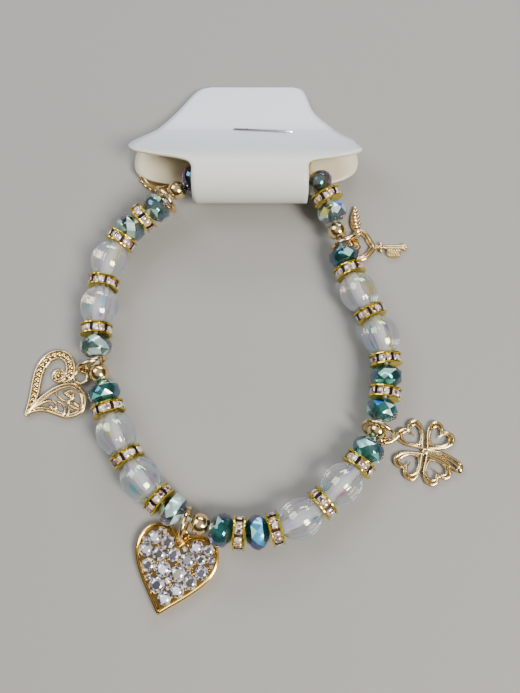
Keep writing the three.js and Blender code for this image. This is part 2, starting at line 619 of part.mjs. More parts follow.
// Card: stations along the bent sheet, from the back panel's top end, round the fold, to the
// front panel's top end. y and z are the sheet's middle, left and right its half widths.
function cardStations() {
  const { foldRadius, foldAxis: axis, foldHalfWidth: waist } = CARD;
  const stations = [
    { y: 57.2, z: 0.25, left: 8.6, right: 8.6 },
    { y: 56.4, z: 0.28, left: 11.2, right: 11.2 },
    { y: 51.0, z: 0.6, left: 14.6, right: 12.6 },
    { y: 46.0, z: 1.2, left: 19.0, right: 17.0 },
    { y: 42.6, z: 1.7, left: 22.8, right: 20.9 },
    { y: 40.6, z: 1.8, left: 23.6, right: 21.8 },
    { y: 38.4, z: 1.9, left: 23.8, right: 22.0 },
    { y: 36.2, z: 1.95, left: 23.2, right: 21.2 },
    { y: 34.6, z: 2.0, left: 20.6, right: 18.8 },
    { y: 33.6, z: 2.0, left: 16.4, right: 15.4 },
    { y: 32.9, z: 2.0, left: waist + 1.2, right: waist + 1.2 },
  ];
  for (let angle = -90; angle >= -270; angle -= 22.5) {
    const [y, z] = [axis.y + foldRadius * Math.cos(rad(angle)), axis.z + foldRadius * Math.sin(rad(angle))];
    stations.push({ y, z, left: waist, right: waist });
  }
  stations.push(
    { y: 33.6, z: 10.85, left: 12.0, right: 12.0 },
    { y: 34.6, z: 10.5, left: 14.6, right: 16.6 },
    { y: 35.6, z: 10.0, left: 18.8, right: 20.0 },
    { y: 36.8, z: 9.2, left: 22.2, right: 21.6 },
    { y: 38.0, z: 8.2, left: 23.6, right: 21.5 },
    { y: 39.4, z: 7.1, left: 24.0, right: 21.0 },
    { y: 41.6, z: 5.4, left: 23.0, right: 20.4 },
    { y: 44.2, z: 3.7, left: 20.6, right: 18.2 },
    { y: 46.2, z: 2.7, left: 18.9, right: 16.7 },
    { y: 50.6, z: 1.75, left: 15.6, right: 13.2 },
    { y: 56.2, z: 1.1, left: 11.6, right: 11.2 },
    { y: 57.3, z: 1.05, left: 8.6, right: 9.0 },
  );
  return stations;
}

function cardGeometry() {
  const stations = cardStations();
  const { thick, middle } = CARD;
  const vertices = [];
  const faces = [];
  stations.forEach((station, i) => {
    const before = stations[Math.max(i - 1, 0)];
    const after = stations[Math.min(i + 1, stations.length - 1)];
    const along = new THREE.Vector2(after.y - before.y, after.z - before.z).normalize();
    const [offY, offZ] = [(along.y * thick) / 2, (-along.x * thick) / 2];
    for (const [x, s] of [[-station.left, 1], [station.right, 1], [station.right, -1], [-station.left, -1]]) {
      vertices.push(new THREE.Vector3(middle + x, station.y + s * offY, station.z + s * offZ));
    }
    if (i === 0) return;
    for (let k = 0; k < 4; k += 1) {
      const [a, b] = [4 * (i - 1) + k, 4 * (i - 1) + ((k + 1) % 4)];
      faces.push([a, a + 4, b + 4, b]);
    }
  });
  const end = 4 * (stations.length - 1);
  faces.push([0, 1, 2, 3], [end + 3, end + 2, end + 1, end]);
  return facetedGeometry(vertices, faces);
}
addPiece('display_card', cardGeometry(), FINISH.card);

// The origin is under the middle of the whole part, on the surface that it lies on
const whole = new THREE.Box3().setFromObject(group, true);
const middle = whole.getCenter(new THREE.Vector3());
for (const piece of group.children) piece.position.add(new THREE.Vector3(-middle.x, -middle.y, -whole.min.z));

export default group;
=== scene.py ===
"""Beaded charm bracelet on a folded display card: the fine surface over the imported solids.

Shapes are worked out in millimetres in the model's own frame and turned into metres once,
when a piece is made. Every piece stands for the CAD node of the same bead, ring or charm.
"""

import math
import random

import bmesh
import bpy
from mathutils import Matrix, Vector


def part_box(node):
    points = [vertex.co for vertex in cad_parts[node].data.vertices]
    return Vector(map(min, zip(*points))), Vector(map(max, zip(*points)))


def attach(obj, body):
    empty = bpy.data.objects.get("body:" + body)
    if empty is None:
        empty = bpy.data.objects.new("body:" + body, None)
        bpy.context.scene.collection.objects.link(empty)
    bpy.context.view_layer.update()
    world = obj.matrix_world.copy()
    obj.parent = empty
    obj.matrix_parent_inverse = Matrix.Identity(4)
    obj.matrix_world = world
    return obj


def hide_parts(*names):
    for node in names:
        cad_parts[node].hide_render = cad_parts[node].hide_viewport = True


MM = 0.001
TURN = 2 * math.pi
UP = Vector((0, 0, 1))

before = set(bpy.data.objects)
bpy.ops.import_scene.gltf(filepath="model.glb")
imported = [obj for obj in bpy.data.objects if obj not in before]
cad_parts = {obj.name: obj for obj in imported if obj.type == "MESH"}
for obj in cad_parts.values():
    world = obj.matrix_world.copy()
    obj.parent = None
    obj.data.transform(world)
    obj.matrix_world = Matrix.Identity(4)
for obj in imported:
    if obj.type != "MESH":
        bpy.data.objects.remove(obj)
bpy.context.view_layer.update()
dice = random.Random(7)

# Camera: the photograph's angle, 75 degrees above the surface, looking along +Y
LENS_MM = 31.17
SENSOR_MM = 36.0
CAMERA_ELEVATION = math.radians(75)
CAMERA_DISTANCE_MM = 115.38

# The solids are drawn about the picture's middle and then moved by this much
DESIGN_SHIFT = Vector((3.632, -4.807, 0.0))
LOOK_AT_MM = DESIGN_SHIFT

# Beads, in millimetres, as in the solids
RONDELLE = {"radius": 3.0, "end_radius": 1.6, "shoulder": 1.0, "length": 3.9, "sides": 8, "pitch": 4.05}
OVAL = {"radius": 3.5, "end_radius": 1.0, "length": 7.8, "pitch": 7.2}
SPACER = {"radius": 3.0, "length": 2.1, "rim": 0.32, "hub_length": 1.2}
BALL = {"radius": 1.8, "end_radius": 0.95, "pitch": 3.6}
BORE_RADIUS = 0.75
THREAD_RADIUS = 0.35
KNOT_RADIUS = 0.55
THREAD_WHITE = (0.94, 0.94, 0.9)

# Jump rings and charm eyes
RING_WIRE_RADIUS = 0.4
EYE_WIRE_RADIUS = 0.28
CHARM_RINGS = [
    {"radius": 2.7, "eye": 0.95, "heading": 129, "lean": 0, "link": 64},
    {"radius": 2.7, "eye": 0.95, "heading": 203, "lean": -8, "link": 45},
    {"radius": 2.7, "eye": 0.95, "heading": 254, "lean": 0, "link": 45},
    {"radius": 2.85, "eye": 0.78, "heading": -28, "lean": -17, "link": 52},
    {"radius": 2.7, "eye": 0.95, "heading": 24, "lean": 8, "link": 45},
]

# The order of the beads along the string, as in the solids: t rondelle, o oval, s spacer,
# b ball, r the slot of a jump ring, k the knot
SEQUENCE = "tbrtstsosostrbtsosostrbtstsosostbtstsosostrbtst" + "sosok"
BEAD_NAMES = {"t": "rondelle", "o": "oval", "s": "spacer", "b": "ball"}


# Colours
DEEP_TEAL = (0.05, 0.19, 0.18)
GREY_GREEN = (0.25, 0.36, 0.32)
SEA_GREEN = (0.09, 0.35, 0.31)
BLUE_TEAL = (0.03, 0.22, 0.36)
MINT = (0.36, 0.66, 0.58)
PALE_MINT = (0.62, 0.86, 0.82)
SKY_BLUE = (0.15, 0.5, 0.85)
PALE_SKY = (0.6, 0.85, 1.0)
BRIGHT_BLUE = (0.02, 0.3, 1.0)
VIOLET = (0.12, 0.06, 0.75)
LEMON = (0.75, 0.72, 0.1)
SMOKE = (0.22, 0.24, 0.25)
UMBER = (0.1, 0.05, 0.04)
WHITE = (1.0, 1.0, 1.0)


# Edges that turn by more than this stay crisp
SHARP_ANGLE = math.radians(38)


def add_object(name, data):
    made = bpy.data.objects.new(name, data)
    bpy.context.scene.collection.objects.link(made)
    return made


class Shape:
    """Faces in millimetres, each with a material number, a smooth flag and a tint per corner.

    place is the matrix of every part that brings none of its own.
    """

    def __init__(self, place=None):
        self.place = place
        self.points = []
        self.faces = []
        self.slots = []
        self.smooth = []
        self.tints = []

    def add(self, part, slot=0, tint=WHITE, smooth=True, matrix=None):
        """part is (points, faces). tint is a colour, one for each face, or a function of a point."""
        points, faces = part
        first = len(self.points)
        matrix = matrix or self.place
        placed = [matrix @ Vector(p) for p in points] if matrix else [Vector(p) for p in points]
        self.points.extend(placed)
        for number, face in enumerate(faces):
            self.faces.append([first + i for i in face])
            self.slots.append(slot)
            self.smooth.append(smooth)
            if callable(tint):
                self.tints.append([tint(Vector(points[i])) for i in face])
            elif isinstance(tint, list):
                self.tints.append([tint[number]] * len(face))
            else:
                self.tints.append([tint] * len(face))

    def wire(self, line, z, radius, sides=10, slot=0, matrix=None, **shaping):
        """A round wire along a line at one height."""
        self.add(wire(lifted(line, z), radius, sides, **shaping), slot, matrix=matrix)

    def ball(self, centre, radius, height=1.0, segments=14, rings=8, slot=0, matrix=None):
        self.add(ball_part(centre, radius, height, segments, rings), slot, matrix=matrix)

    def piece(self, name, materials, nodes, slot):
        """Makes the Blender object, which rides on the root and stands for the CAD nodes."""
        mesh = bpy.data.meshes.new(name)
        mesh.from_pydata([p * MM for p in self.points], [], self.faces)
        colours = mesh.color_attributes.new("tint", "FLOAT_COLOR", "CORNER")
        corner = 0
        for polygon, slot_number, smooth, tints in zip(mesh.polygons, self.slots, self.smooth, self.tints):
            polygon.material_index = slot_number
            polygon.use_smooth = smooth
            for tint in tints:
                colours.data[corner].color = (*tint, 1.0)
                corner += 1
        for material in materials:
            mesh.materials.append(material)
        work = bmesh.new()
        work.from_mesh(mesh)
        bmesh.ops.recalc_face_normals(work, faces=work.faces)
        work.to_mesh(mesh)
        work.free()
        mesh.set_sharp_from_angle(angle=SHARP_ANGLE)
        made = add_object(name, mesh)
        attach(made, "root")
        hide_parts(*nodes)
        return made


def joined_rows(rows, width, closed=False):
    """The faces between rows of points, each row a ring of so many points."""
    faces = []
    for k in range(rows if closed else rows - 1):
        after = (k + 1) % rows
        for i in range(width):
            j = (i + 1) % width
            faces.append([k * width + i, k * width + j, after * width + j, after * width + i])
    return faces


def ring_points(radius, z, sides, stagger=0.0):
    angles = [(i + stagger) / sides * TURN for i in range(sides)]
    return [(radius * math.cos(angle), radius * math.sin(angle), z) for angle in angles]


# Building blocks. Each gives (points, faces).
def lathe(profile, sides, wave=None):
    """A closed profile of (radius, z) turned about Z. wave(angle) scales the radius."""
    points = []
    for radius, z in profile:
        for i in range(sides):
            angle = i / sides * TURN
            r = radius * (wave(angle) if wave else 1.0)
            points.append((r * math.cos(angle), r * math.sin(angle), z))
    return points, joined_rows(len(profile), sides, closed=True)


def round_section(radius, sides):
    return [(radius * math.cos(i / sides * TURN), radius * math.sin(i / sides * TURN)) for i in range(sides)]


def box_section(half_width, low, high):
    return [(-half_width, low), (half_width, low), (half_width, high), (-half_width, high)]


def sweep(path, section, binormal=UP, closed=False, scale=None):
    """A section of (side, up) offsets carried along a path of points, with capped ends."""
    path = [Vector(p) for p in path]
    count = len(path)
    points = []
    for k, at in enumerate(path):
        before = path[(k - 1) % count] if closed or k > 0 else at
        after = path[(k + 1) % count] if closed or k < count - 1 else at
        along = (after - before).normalized()
        side = along.cross(binormal).normalized()
        rise = side.cross(along)
        size = scale(k / (count - 1)) if scale else 1.0
        for s, u in section:
            points.append(at + side * (s * size) + rise * (u * size))
    width = len(section)
    faces = joined_rows(count, width, closed)
    if not closed:
        faces.append(list(range(width)))
        faces.append([(count - 1) * width + i for i in reversed(range(width))])
    return points, faces


def wire(path, radius, sides=10, closed=False, scale=None, binormal=UP):
    return sweep(path, round_section(radius, sides), binormal, closed, scale)


def ball_part(centre, radius, height=1.0, segments=14, rings=8):
    """A ball, or a flattened one where height is under 1."""
    points = [Vector(centre) + Vector((0, 0, -radius * height))]
    for k in range(1, rings):
        angle = math.pi * k / rings
        for i in range(segments):
            turn = i / segments * TURN
            offset = Vector((math.sin(angle) * math.cos(turn), math.sin(angle) * math.sin(turn), 0))
            lift = Vector((0, 0, -math.cos(angle) * radius * height))
            points.append(Vector(centre) + offset * radius + lift)
    points.append(Vector(centre) + Vector((0, 0, radius * height)))
    last = len(points) - 1
    faces = []
    for i in range(segments):
        j = (i + 1) % segments
        faces.append([0, 1 + j, 1 + i])
        for k in range(rings - 2):
            a, b = 1 + k * segments, 1 + (k + 1) * segments
            faces.append([a + i, a + j, b + j, b + i])
        top = 1 + (rings - 2) * segments
        faces.append([top + i, top + j, last])
    return points, faces


def plate(outline, low, high, bevel=0.12, hole=None):
    """A flat plate with its upper edge eased. hole has as many points as the outline."""
    count = len(outline)
    middle = Vector((0, 0))
    for p in outline:
        middle += Vector(p) / count
    inner = [Vector(p) + (middle - Vector(p)).normalized() * bevel for p in outline]
    rows = [(outline, low), (outline, high - bevel), (inner, high)]
    if hole:
        rows += [(hole, high), (hole, low)]
    points = [(p[0], p[1], z) for row, z in rows for p in row]
    faces = joined_rows(len(rows), count, closed=bool(hole))
    if not hole:
        faces.append(list(reversed(range(count))))
        faces.append([2 * count + i for i in range(count)])
    return points, faces


def cut_stone(centre, across, low, high, sides=8, table=0.52, turn=0.0):
    """A round stone seen from above: a girdle, a crown of kites and triangles, and a table."""
    points = []
    crown = low + (high - low) * 0.35
    rows = [
        (across / 2, low, 0.0), (across / 2, crown, 0.0),
        (across / 2 * (0.5 + table / 2) * 1.02, crown + (high - crown) * 0.55, 0.5),
        (across / 2 * table, high, 0.0),
    ]
    for radius, z, stagger in rows:
        for i in range(sides):
            angle = (i + stagger) / sides * TURN + turn
            points.append((centre[0] + radius * math.cos(angle), centre[1] + radius * math.sin(angle), z))
    faces = [list(reversed(range(sides)))]
    for i in range(sides):
        j = (i + 1) % sides
        faces.append([i, j, sides + j, sides + i])
        faces.append([sides + i, sides + j, 2 * sides + i])
        faces.append([sides + j, 3 * sides + j, 2 * sides + i])
        faces.append([3 * sides + j, 3 * sides + i, 2 * sides + i])
        faces.append([3 * sides + i, sides + i, 2 * sides + i])
    faces.append([3 * sides + i for i in range(sides)])
    return points, faces


# Lines
STEPS_PER_CURVE = 24


def circle(centre, radius, count):
    return [centre + Vector((math.cos(k / count * TURN), math.sin(k / count * TURN))) * radius
            for k in range(count)]


def hoop(centre, first, second, radius, angles):
    """Points of a circle in the plane of two directions."""
    return [centre + (first * math.cos(angle) + second * math.sin(angle)) * radius for angle in angles]


def catmull_rom(points, per_span):
    """The uniform Catmull-Rom line through the points."""
    fine = []
    for k in range(len(points) - 1):
        p0, p1 = points[max(k - 1, 0)], points[k]
        p2, p3 = points[k + 1], points[min(k + 2, len(points) - 1)]
        for step in range(per_span):
            t = step / per_span
            fine.append(0.5 * (
                2 * p1 + (p2 - p0) * t + (2 * p0 - 5 * p1 + 4 * p2 - p3) * t * t
                + (3 * p1 - p0 - 3 * p2 + p3) * t * t * t
            ))
    return fine + [points[-1]]


def smooth_line(points, steps):
    """Even steps along the curve through the points."""
    return even_steps(catmull_rom([Vector(p) for p in points], STEPS_PER_CURVE), steps)


def even_steps(fine, steps):
    lengths = [0.0]
    for a, b in zip(fine, fine[1:]):
        lengths.append(lengths[-1] + (b - a).length)
    line = []
    k = 0
    for step in range(steps + 1):
        goal = lengths[-1] * step / steps
        while k < len(fine) - 2 and lengths[k + 1] < goal:
            k += 1
        span = max(lengths[k + 1] - lengths[k], 1e-9)
        line.append(fine[k].lerp(fine[k + 1], (goal - lengths[k]) / span))
    return line


def mirrored_outline(half, mirror, steps):
    """A closed outline in even steps: cubic curves along half of it, then their mirror image."""
    points = [Vector(p) for p in half]
    points += [Vector((p.x * mirror[0], p.y * mirror[1])) for p in reversed(points[:-1])]
    fine = points[:1]
    for k in range(0, len(points) - 1, 3):
        p0, p1, p2, p3 = points[k:k + 4]
        for step in range(1, STEPS_PER_CURVE + 1):
            t = step / STEPS_PER_CURVE
            u = 1 - t
            fine.append(p0 * u ** 3 + p1 * (3 * u * u * t) + p2 * (3 * u * t * t) + p3 * t ** 3)
    return even_steps(fine, steps)[:-1]


def offset_line(line, distance, closed=False):
    """The line moved to its left in the plane."""
    moved = []
    count = len(line)
    for k, at in enumerate(line):
        before = line[(k - 1) % count] if closed or k > 0 else at
        after = line[(k + 1) % count] if closed or k < count - 1 else at
        along = (after - before).normalized()
        moved.append(Vector((at.x - along.y * distance, at.y + along.x * distance)))
    return moved


def lifted(line, z):
    return [Vector((p[0], p[1], z)) for p in line]


# Materials
def node_material(name):
    material = bpy.data.materials.new(name)
    material.use_nodes = True
    tree = material.node_tree
    return material, tree, tree.nodes["Principled BSDF"]


def set_inputs(node, values):
    for socket, value in values.items():
        node.inputs[socket].default_value = value


def add_noise(tree, scale, detail=4.0):
    place = tree.nodes.new("ShaderNodeTexCoord")
    noise = tree.nodes.new("ShaderNodeTexNoise")
    set_inputs(noise, {"Scale": scale, "Detail": detail})
    tree.links.new(place.outputs["Object"], noise.inputs["Vector"])
    return noise.outputs["Fac"]


def add_tint(tree):
    """The colour that the mesh carries, corner by corner."""
    tint = tree.nodes.new("ShaderNodeAttribute")
    tint.attribute_name = "tint"
    return tint.outputs["Color"]


def add_range(tree, source, low, high):
    scaled = tree.nodes.new("ShaderNodeMapRange")
    set_inputs(scaled, {"To Min": low, "To Max": high})
    tree.links.new(source, scaled.inputs["Value"])
    return scaled.outputs["Result"]


def add_bump(tree, shader, height, strength, distance):
    bump = tree.nodes.new("ShaderNodeBump")
    set_inputs(bump, {"Strength": strength, "Distance": distance})
    tree.links.new(height, bump.inputs["Height"])
    tree.links.new(bump.outputs["Normal"], shader.inputs["Normal"])


def add_mix(tree, share, colours, blend="MIX"):
    """Two colours mixed by a share. colours says which of the inputs A and B are plain colours."""
    mix = tree.nodes.new("ShaderNodeMix")
    mix.data_type = "RGBA"
    mix.blend_type = blend
    tree.links.new(share, mix.inputs["Factor"])
    set_inputs(mix, {socket: (*colour, 1) for socket, colour in colours.items()})
    return mix


def gold_material(name, bright, deep, roughness):
    """Plated metal: a little tone and gloss variation, and a very fine cast grain."""
    material, tree, shader = node_material(name)
    tone = add_noise(tree, 420.0)
    mix = add_mix(tree, tone, {"A": bright, "B": deep})
    tree.links.new(mix.outputs["Result"], shader.inputs["Base Color"])
    tree.links.new(add_range(tree, tone, roughness * 0.7, roughness * 1.35), shader.inputs["Roughness"])
    set_inputs(shader, {"Metallic": 1.0})
    add_bump(tree, shader, add_noise(tree, 5200.0), 0.12, 0.00004)
    return material


def tinted_material(name, settings, rough_low, rough_high):
    """A surface that takes its colour from the mesh's own tint, facet by facet."""
    material, tree, shader = node_material(name)
    tree.links.new(add_tint(tree), shader.inputs["Base Color"])
    tree.links.new(add_range(tree, add_noise(tree, 900.0), rough_low, rough_high), shader.inputs["Roughness"])
    set_inputs(shader, settings)
    return material


pale_gold = gold_material("pale_gold_plating", (0.95, 0.76, 0.42), (0.82, 0.57, 0.24), 0.13)
charm_gold = gold_material("warm_gold_plating", (0.92, 0.64, 0.17), (0.7, 0.4, 0.06), 0.17)
# Dark gold for the hollows: painted shade in troughs, recesses and the field between the pavé stones
hollow_shade_gold = gold_material("gold_in_the_hollows", (0.26, 0.17, 0.06), (0.11, 0.06, 0.02), 0.35)
yellow_gold = gold_material("yellow_gold_plating", (0.9, 0.76, 0.1), (0.62, 0.44, 0.02), 0.17)
# Near-black setting: painted shade in the spacers' deep gaps, behind and between the stones
gap_shade_gold = gold_material("shaded_setting", (0.05, 0.03, 0.02), (0.02, 0.012, 0.01), 0.45)
steel = gold_material("staple_steel", (0.62, 0.63, 0.64), (0.5, 0.51, 0.52), 0.28)
teal_crystal = tinted_material("teal_crystal", {
    "Transmission Weight": 0.9, "IOR": 1.54, "Coat Weight": 0.25, "Coat Roughness": 0.02,
    "Thin Film Thickness": 325.0, "Thin Film IOR": 1.9,
}, 0.02, 0.06)
# Glossy coated facets, for the rondelle facets that carry a painted glint
coated_glint_facet = tinted_material("coated_glint_facet", {
    "Metallic": 0.25, "Transmission Weight": 0.15, "IOR": 1.56, "Coat Weight": 1.0, "Coat Roughness": 0.03,
}, 0.15, 0.3)
clear_crystal = tinted_material("clear_crystal", {
    "Transmission Weight": 0.84, "IOR": 1.46, "Coat Weight": 0.4, "Coat Roughness": 0.03,
    "Thin Film Thickness": 400.0, "Thin Film IOR": 1.8,
}, 0.02, 0.07)
frosted_bore = tinted_material("frosted_bore", {"Transmission Weight": 0.35, "IOR": 1.3}, 0.25, 0.45)
rhinestone = tinted_material("rhinestone", {
    "Metallic": 0.45, "IOR": 1.6, "Coat Weight": 1.0, "Coat Roughness": 0.02,
}, 0.03, 0.1)
elastic = tinted_material("clear_elastic", {"Transmission Weight": 0.45, "IOR": 1.45}, 0.25, 0.4)


FIBRE_SHADE = (0.82, 0.8, 0.76)


def card_material():
    """Satin card: the tint from the mesh, a faint fibre mottle and a slight tooth."""
    material, tree, shader = node_material("satin_card")
    fibre = add_noise(tree, 2600.0, 6.0)
    mottle = add_mix(tree, add_range(tree, fibre, 0.0, 0.16), {"B": FIBRE_SHADE}, "MULTIPLY")
    tree.links.new(add_tint(tree), mottle.inputs["A"])
    tree.links.new(mottle.outputs["Result"], shader.inputs["Base Color"])
    tree.links.new(add_range(tree, fibre, 0.38, 0.52), shader.inputs["Roughness"])
    set_inputs(shader, {"Coat Weight": 0.12, "Coat Roughness": 0.35})
    add_bump(tree, shader, fibre, 0.15, 0.00005)
    return material


satin_card = card_material()


# Where the beads lie
def centre_of(node):
    low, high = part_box(node)
    return (low + high) / (2 * MM)


counts = {kind: 0 for kind in BEAD_NAMES}
beads = []
for kind in SEQUENCE:
    if kind in BEAD_NAMES:
        counts[kind] += 1
        node = f"{BEAD_NAMES[kind]}_{counts[kind]}"
        beads.append({"kind": kind, "number": counts[kind], "node": node, "centre": centre_of(node)})
for k, bead in enumerate(beads):
    before, after = beads[k - 1], beads[(k + 1) % len(beads)]
    arriving = (bead["centre"] - before["centre"]).normalized()
    leaving = (after["centre"] - bead["centre"]).normalized()
    bead["direction"] = (arriving + leaving).normalized()
    turn = UP.rotation_difference(bead["direction"]).to_matrix().to_4x4()
    bead["matrix"] = Matrix.Translation(bead["centre"]) @ turn


def bore_part(length, sides):
    """The open wall of a drilled hole."""
    points = ring_points(BORE_RADIUS, -length / 2, sides) + ring_points(BORE_RADIUS, length / 2, sides)
    faces = [[i, sides + i, sides + (i + 1) % sides, (i + 1) % sides] for i in range(sides)]
    return points, faces


# Faceted rondelles: body tint, then painted reflections on single facets (bright glints in the coating's
# colours, and dark facets) as (x and y of the way that a facet faces, colour)
RONDELLE_LOOKS = [
    (UMBER, [(0.6, 0.2, BLUE_TEAL), (-0.2, 0.1, UMBER)]),
    (GREY_GREEN, [(-0.5, 0.6, BLUE_TEAL), (-0.2, 0.7, BLUE_TEAL), (0.1, 0.4, MINT), (0.0, -0.1, SMOKE)]),
    (GREY_GREEN, [(-0.6, -0.1, SKY_BLUE), (0.4, -0.1, WHITE), (0.1, -0.2, PALE_MINT),
                  (-0.3, 0.4, SEA_GREEN)]),
    (GREY_GREEN, [(0.1, 0.6, SKY_BLUE), (0.5, 0.5, BLUE_TEAL), (0.2, 0.1, MINT), (0.2, 0.5, PALE_SKY)]),
    (SEA_GREEN, [(0.3, 0.0, PALE_MINT), (-0.6, -0.1, SEA_GREEN), (0.0, 0.5, MINT), (0.1, -0.1, WHITE)]),
    (GREY_GREEN, [(0.3, 0.3, PALE_MINT), (-0.3, 0.1, MINT), (0.1, -0.6, PALE_MINT), (0.1, 0.1, MINT)]),
    (DEEP_TEAL, [(0.0, 0.4, MINT), (-0.5, -0.5, VIOLET), (0.3, -0.2, GREY_GREEN), (-0.6, 0.4, WHITE)]),
    (BLUE_TEAL, [(0.1, 0.1, SKY_BLUE), (0.1, 0.6, SKY_BLUE), (0.5, -0.4, BLUE_TEAL), (-0.3, 0.1, MINT)]),
    (SEA_GREEN, [(-0.4, 0.5, MINT), (0.5, 0.0, BLUE_TEAL), (0.0, 0.0, GREY_GREEN), (0.2, 0.4, BLUE_TEAL)]),
    (SEA_GREEN, [(-0.3, 0.3, BRIGHT_BLUE), (0.4, 0.1, PALE_MINT), (0.1, 0.5, SKY_BLUE),
                 (0.1, -0.3, PALE_MINT)]),
    (SEA_GREEN, [(0.2, 0.5, BLUE_TEAL), (-0.3, 0.2, MINT), (0.4, -0.3, DEEP_TEAL), (0.0, 0.1, MINT)]),
    (DEEP_TEAL, [(0.0, 0.1, MINT), (0.5, 0.3, BLUE_TEAL), (0.1, -0.5, GREY_GREEN), (-0.3, 0.4, SKY_BLUE)]),
    (GREY_GREEN, [(-0.5, -0.1, LEMON), (0.5, 0.0, VIOLET), (0.0, 0.0, PALE_MINT), (0.2, 0.4, SKY_BLUE)]),
    (SMOKE, [(0.6, 0.2, BLUE_TEAL), (-0.1, 0.2, SMOKE), (-0.3, -0.5, UMBER)]),
]
TINT_SPREAD = 0.6
FLASH_BRIGHTNESS = 0.45
FACET_RISE = 0.75
BORE_BROWN = (0.42, 0.36, 0.3)


def varied(colour, spread):
    scale = 1 + dice.uniform(-spread, spread)
    return tuple(min(1.0, c * scale) for c in colour)


def rondelle_part():
    """Flat diamonds stand across the girdle, with triangles between them to each end."""
    radius, end, sides = RONDELLE["radius"], RONDELLE["end_radius"], RONDELLE["sides"]
    half, shoulder_z = RONDELLE["length"] / 2, RONDELLE["shoulder"]
    shoulder = radius * math.cos(math.pi / sides)
    rows = [(end, half, 0), (shoulder, shoulder_z, 0.5), (radius, 0, 0), (shoulder, -shoulder_z, 0.5),
            (end, -half, 0)]
    points = [point for r, z, stagger in rows for point in ring_points(r, z, sides, stagger)]
    top, high, middle, low, bottom = [k * sides for k in range(5)]
    faces = []
    for i in range(sides):
        j, h = (i + 1) % sides, (i - 1) % sides
        faces.append([top + i, high + h, high + i])
        faces.append([high + h, middle + i, high + i])
        faces.append([top + i, high + i, top + j])
        faces.append([high + i, middle + i, low + i, middle + j])
        faces.append([bottom + i, low + i, low + h])
        faces.append([low + h, low + i, middle + i])
        faces.append([bottom + i, bottom + j, low + i])
    for edge, z in ((top, half), (bottom, -half)):
        first = len(points)
        points += ring_points(BORE_RADIUS, z, 2 * sides)
        for i in range(sides):
            j = (i + 1) % sides
            inner = [first + 2 * i, first + 2 * i + 1, first + (2 * i + 2) % (2 * sides)]
            faces.append([edge + i, inner[0], inner[1], inner[2], edge + j])
    return points, faces


def make_rondelle(bead):
    body, facet_reflections = RONDELLE_LOOKS[bead["number"] - 1]
    points, faces = rondelle_part()
    tints = [varied(body, TINT_SPREAD) for _ in faces]
    outward = []
    for face in faces:
        middle = sum((bead["matrix"] @ Vector(points[i]) for i in face), Vector()) / len(face)
        outward.append((middle - bead["centre"]).normalized())
    # Each listed facet takes a painted reflection, a bright glint or a dark facet, by the way it faces
    for x, y, colour in facet_reflections:
        aim = Vector((x, y, FACET_RISE)).normalized()
        nearest = max(range(len(faces)), key=lambda n: outward[n].dot(aim))
        tints[nearest] = colour
    # Facets with a bright painted glint go to the glossier coated material
    bright = [n for n, tint in enumerate(tints) if max(tint) > FLASH_BRIGHTNESS]
    plain = [n for n in range(len(faces)) if n not in bright]
    shape = Shape(bead["matrix"])
    for slot, chosen in ((0, plain), (2, bright)):
        shape.add((points, [faces[n] for n in chosen]), slot, [tints[n] for n in chosen], smooth=False)
    shape.add(bore_part(RONDELLE["length"], sides=16), 1, BORE_BROWN)
    materials = [teal_crystal, frosted_bore, coated_glint_facet]
    shape.piece(f"crystal_{bead['node']}", materials, [bead["node"]], "teal_crystal")


# Ovals: clear glass with fine streaks along it, painted reflections of the bore, and soft spots of the
# rainbow coating
FILM_COLOURS = [(0.2, 0.05, 1.0), (0.08, 0.75, 1.0), (1.0, 0.88, 0.06), (1.0, 0.25, 0.6), (0.4, 0.12, 1.0)]
GLASS_WHITE = (1.0, 1.0, 1.0)
GLASS_GREY = (0.8, 0.8, 0.92)
BORE_CREAM = (1.0, 0.97, 0.85)
FILM_SPOTS = 16
OVAL_SIDES = 88
RIPPLES = 22
RIPPLE = 0.008


def film_tint():
    spots = []
    for _ in range(FILM_SPOTS):
        spots.append({
            "around": dice.uniform(0, TURN), "along": dice.uniform(-0.34, 0.34) * OVAL["length"],
            "wide": dice.uniform(0.08, 0.22), "long": dice.uniform(0.7, 2.0),
            "colour": dice.choice(FILM_COLOURS),
        })
    phases = [dice.uniform(0, TURN) for _ in range(3)]

    def tint(point):
        around = math.atan2(point.y, point.x)
        # Light and grey streaks round the bead: painted reflections of the bore
        painted_bore_reflection = 0.5 + 0.25 * math.sin(5 * around + phases[0]) + 0.25 * math.sin(11 * around + phases[1])
        colour = Vector(GLASS_GREY).lerp(Vector(GLASS_WHITE), painted_bore_reflection)
        for spot in spots:
            turned = (around - spot["around"] + math.pi) % TURN - math.pi
            reach = (turned / spot["wide"]) ** 2 + ((point.z - spot["along"]) / spot["long"]) ** 2
            colour = colour.lerp(Vector(spot["colour"]), math.exp(-reach * 2))
        return tuple(colour)
    return tint


def ellipse_profile(radius, end_radius, half, rows):
    reach = math.acos(end_radius / radius)
    stretch = half / math.sin(reach)
    profile = []
    for k in range(rows + 1):
        angle = -reach + 2 * reach * k / rows
        profile.append((radius * math.cos(angle), stretch * math.sin(angle)))
    return profile


def make_oval(bead):
    half = OVAL["length"] / 2
    outer = ellipse_profile(OVAL["radius"], OVAL["end_radius"], half, 26)
    closed = [(BORE_RADIUS, half), (BORE_RADIUS, -half)] + outer
    points, faces = lathe(closed, OVAL_SIDES, lambda angle: 1 + RIPPLE * math.cos(RIPPLES * angle))
    shape = Shape(bead["matrix"])
    bore_faces, skin_faces = faces[:OVAL_SIDES], faces[OVAL_SIDES:]
    shape.add((points, skin_faces), 0, film_tint())
    shape.add((points, bore_faces), 1, BORE_CREAM)
    shape.piece(f"crystal_{bead['node']}", [clear_crystal, frosted_bore], [bead["node"]], "clear_crystal")


